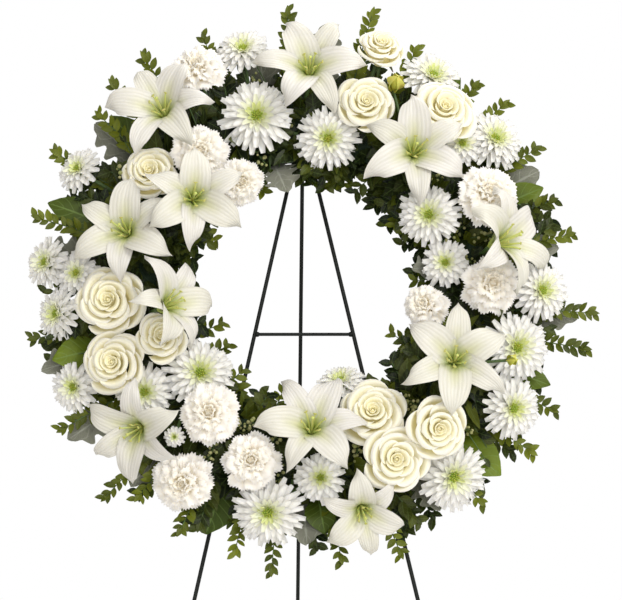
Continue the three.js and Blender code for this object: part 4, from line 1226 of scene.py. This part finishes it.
# Dark moulded plastic with low ridges that run round the ring, their crests painted lighter as a painted
# highlight
def trayMaterial():
    look = trayLook
    material, tree, shader = newMaterial("tray plastic")
    broad, fine = useGroup(tree, mottleGroup, {"Patches": look["patches"], "Grain": look["grain"]})
    axis = (slope.to_3x3() @ Vector((0, 0, 1))).normalized()
    place = addNode(tree, "ShaderNodeTexCoord").outputs["Object"]
    fromCentre = vectorMaths(tree, "SUBTRACT", place, slope.translation)[0]
    offAxis = vectorMaths(tree, "CROSS_PRODUCT", fromCentre, axis)[0]
    radius = vectorMaths(tree, "LENGTH", offAxis, (0, 0, 0))["Value"]
    turns = maths(tree, "MULTIPLY", radius, 2 * math.pi / (look["ridges"] * mm))
    ridges = ranged(tree, maths(tree, "SINE", turns), -0.4, 0.4)
    tone = mixed(tree, broad, look["first"], look["second"])
    # The ridges' crests are coloured lighter: a painted highlight on their tops
    tone = mixed(tree, maths(tree, "MULTIPLY", ridges, look["litCrestShare"]), tone, look["litCrest"])
    toned(tree, shader, tone, fine, *look["roughness"])
    bumped(tree, shader, ridges, look["ridgeStrength"], look["ridgeHeight"])
    return material


def wireMaterial():
    look = wireLook
    material, tree, shader = newMaterial("wire enamel")
    broad, fine = useGroup(tree, mottleGroup, {"Patches": look["patches"], "Grain": look["grain"]})
    toned(tree, shader, mixed(tree, broad, look["first"], look["second"]), fine, *look["roughness"])
    setSockets(shader, {"Specular IOR Level": look["specular"]})
    bumped(tree, shader, broad, look["bump"], look["bumpHeight"])
    return material


def dressNode(node, material):
    mesh = nodes[node].data
    mesh.materials.clear()
    mesh.materials.append(material)
    mesh.shade_smooth()
    mesh.set_sharp_from_angle(angle=math.radians(50))


enamel = wireMaterial()
for node in ("leg_left", "leg_right", "crossbar", "hinge_bar", "tie_bar", "prong_left",
             "prong_right", "leg_rear"):
    dressNode(node, enamel)
dressNode("ring_tray", trayMaterial())
dressNode("foam_ring", foamMaterial())
print("easel, tray and foam dressed")

welds = {"reach": (-3.4, -2.2, 0, 2.2, 3.4), "radii": (1.0, 2.7, 3.2, 2.7, 1.0), "sides": 12}


# Small weld beads where the easel's bars meet its legs
def addWelds():
    piece = newPiece()
    for bar in ("crossbar", "hinge_bar", "tie_bar"):
        lo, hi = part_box(bar)
        middle = (lo + hi) / 2
        for x in (lo.x, hi.x):
            path = [slope.inverted() @ Vector((x + step * mm, middle.y, middle.z))
                    for step in welds["reach"]]
            addTube(piece, path, welds["radii"], welds["sides"])
    makePiece("weldBeads", piece, [enamel], [])


addWelds()

# Floor, lights and camera
studio = {
    "floorSize": 5.0, "floorTone": (0.93, 0.925, 0.915), "sky": 0.58,
    "skyTone": (1.0, 0.968, 0.935), "backdrop": 1.0,
    "photo": (622, 600), "photoScale": 1.17, "centrePixel": (310, 287),
    "azimuth": -2.35, "distance": 3.0, "sensor": 36.0,
}


def addFloor():
    bpy.ops.mesh.primitive_grid_add(x_subdivisions=40, y_subdivisions=40, size=studio["floorSize"])
    floor = bpy.context.active_object
    floor.name = "floor"
    floor.location = (0, 0.4, 0)
    material, tree, shader = newMaterial("pale floor")
    broad, fine = useGroup(tree, mottleGroup, {"Patches": 2.0, "Grain": 60.0})
    darker = tuple(0.97 * c for c in studio["floorTone"])
    toned(tree, shader, mixed(tree, broad, studio["floorTone"], darker), fine, 0.6, 0.7)
    floor.data.materials.append(material)


# Soft panels that look at the middle of the wreath: place, size, power and tone
lights = {
    "key": ((1.3, -2.1, 2.4), 1.0, 36, (1.0, 0.985, 0.955)),
    "front": ((0.1, -3.3, 1.2), 1.6, 29, (1.0, 0.99, 0.97)),
    "top": ((0.5, 0.3, 2.8), 1.2, 18, (1.0, 1.0, 1.0)),
}


def addLight(name, place, size, power, tone):
    target = slope @ Vector((0, 0, 60))
    data = bpy.data.lights.new(name, "AREA")
    data.size, data.energy, data.color = size, power, tone
    light = bpy.data.objects.new(name, data)
    bpy.context.scene.collection.objects.link(light)
    light.location = place
    light.rotation_euler = (target - Vector(place)).to_track_quat("-Z", "Y").to_euler()


def addCamera():
    middle = slope @ flowerPlace(0, 0, 60)
    pixel = studio["photoScale"] * mm
    width, height = studio["photo"]
    azimuth = math.radians(studio["azimuth"])
    right = Vector((math.cos(azimuth), math.sin(azimuth), 0))
    back = Vector((math.sin(azimuth), -math.cos(azimuth), 0))
    px, py = studio["centrePixel"]
    aim = middle - right * (px - width / 2) * pixel + Vector((0, 0, (py - height / 2) * pixel))
    data = bpy.data.cameras.new("camera")
    data.sensor_width = studio["sensor"]
    data.lens = studio["sensor"] * studio["distance"] / (width * pixel)
    data.clip_end = 100
    camera = bpy.data.objects.new("camera", data)
    bpy.context.scene.collection.objects.link(camera)
    camera.location = aim + back * studio["distance"]
    camera.rotation_euler = (-back).to_track_quat("-Z", "Y").to_euler()
    bpy.context.scene.camera = camera


addFloor()
for name, light in lights.items():
    addLight(name, *light)


# The world lights the wreath softly; the camera sees it as a plain white backdrop
def addSky():
    world = bpy.data.worlds.new("studio")
    bpy.context.scene.world = world
    world.use_nodes = True
    tree = world.node_tree
    sky = tree.nodes["Background"]
    setSockets(sky, {"Color": (*studio["skyTone"], 1), "Strength": studio["sky"]})
    backdrop = addNode(tree, "ShaderNodeBackground", {
        "Color": (1, 1, 1, 1), "Strength": studio["backdrop"]})
    path = addNode(tree, "ShaderNodeLightPath")
    both = addNode(tree, "ShaderNodeMixShader", {
        0: path.outputs["Is Camera Ray"], 1: sky.outputs[0], 2: backdrop.outputs[0]})
    tree.links.new(both.outputs[0], tree.nodes["World Output"].inputs["Surface"])
    bpy.context.scene.view_settings.view_transform = "Standard"


addSky()
addCamera()
print("studio ready")
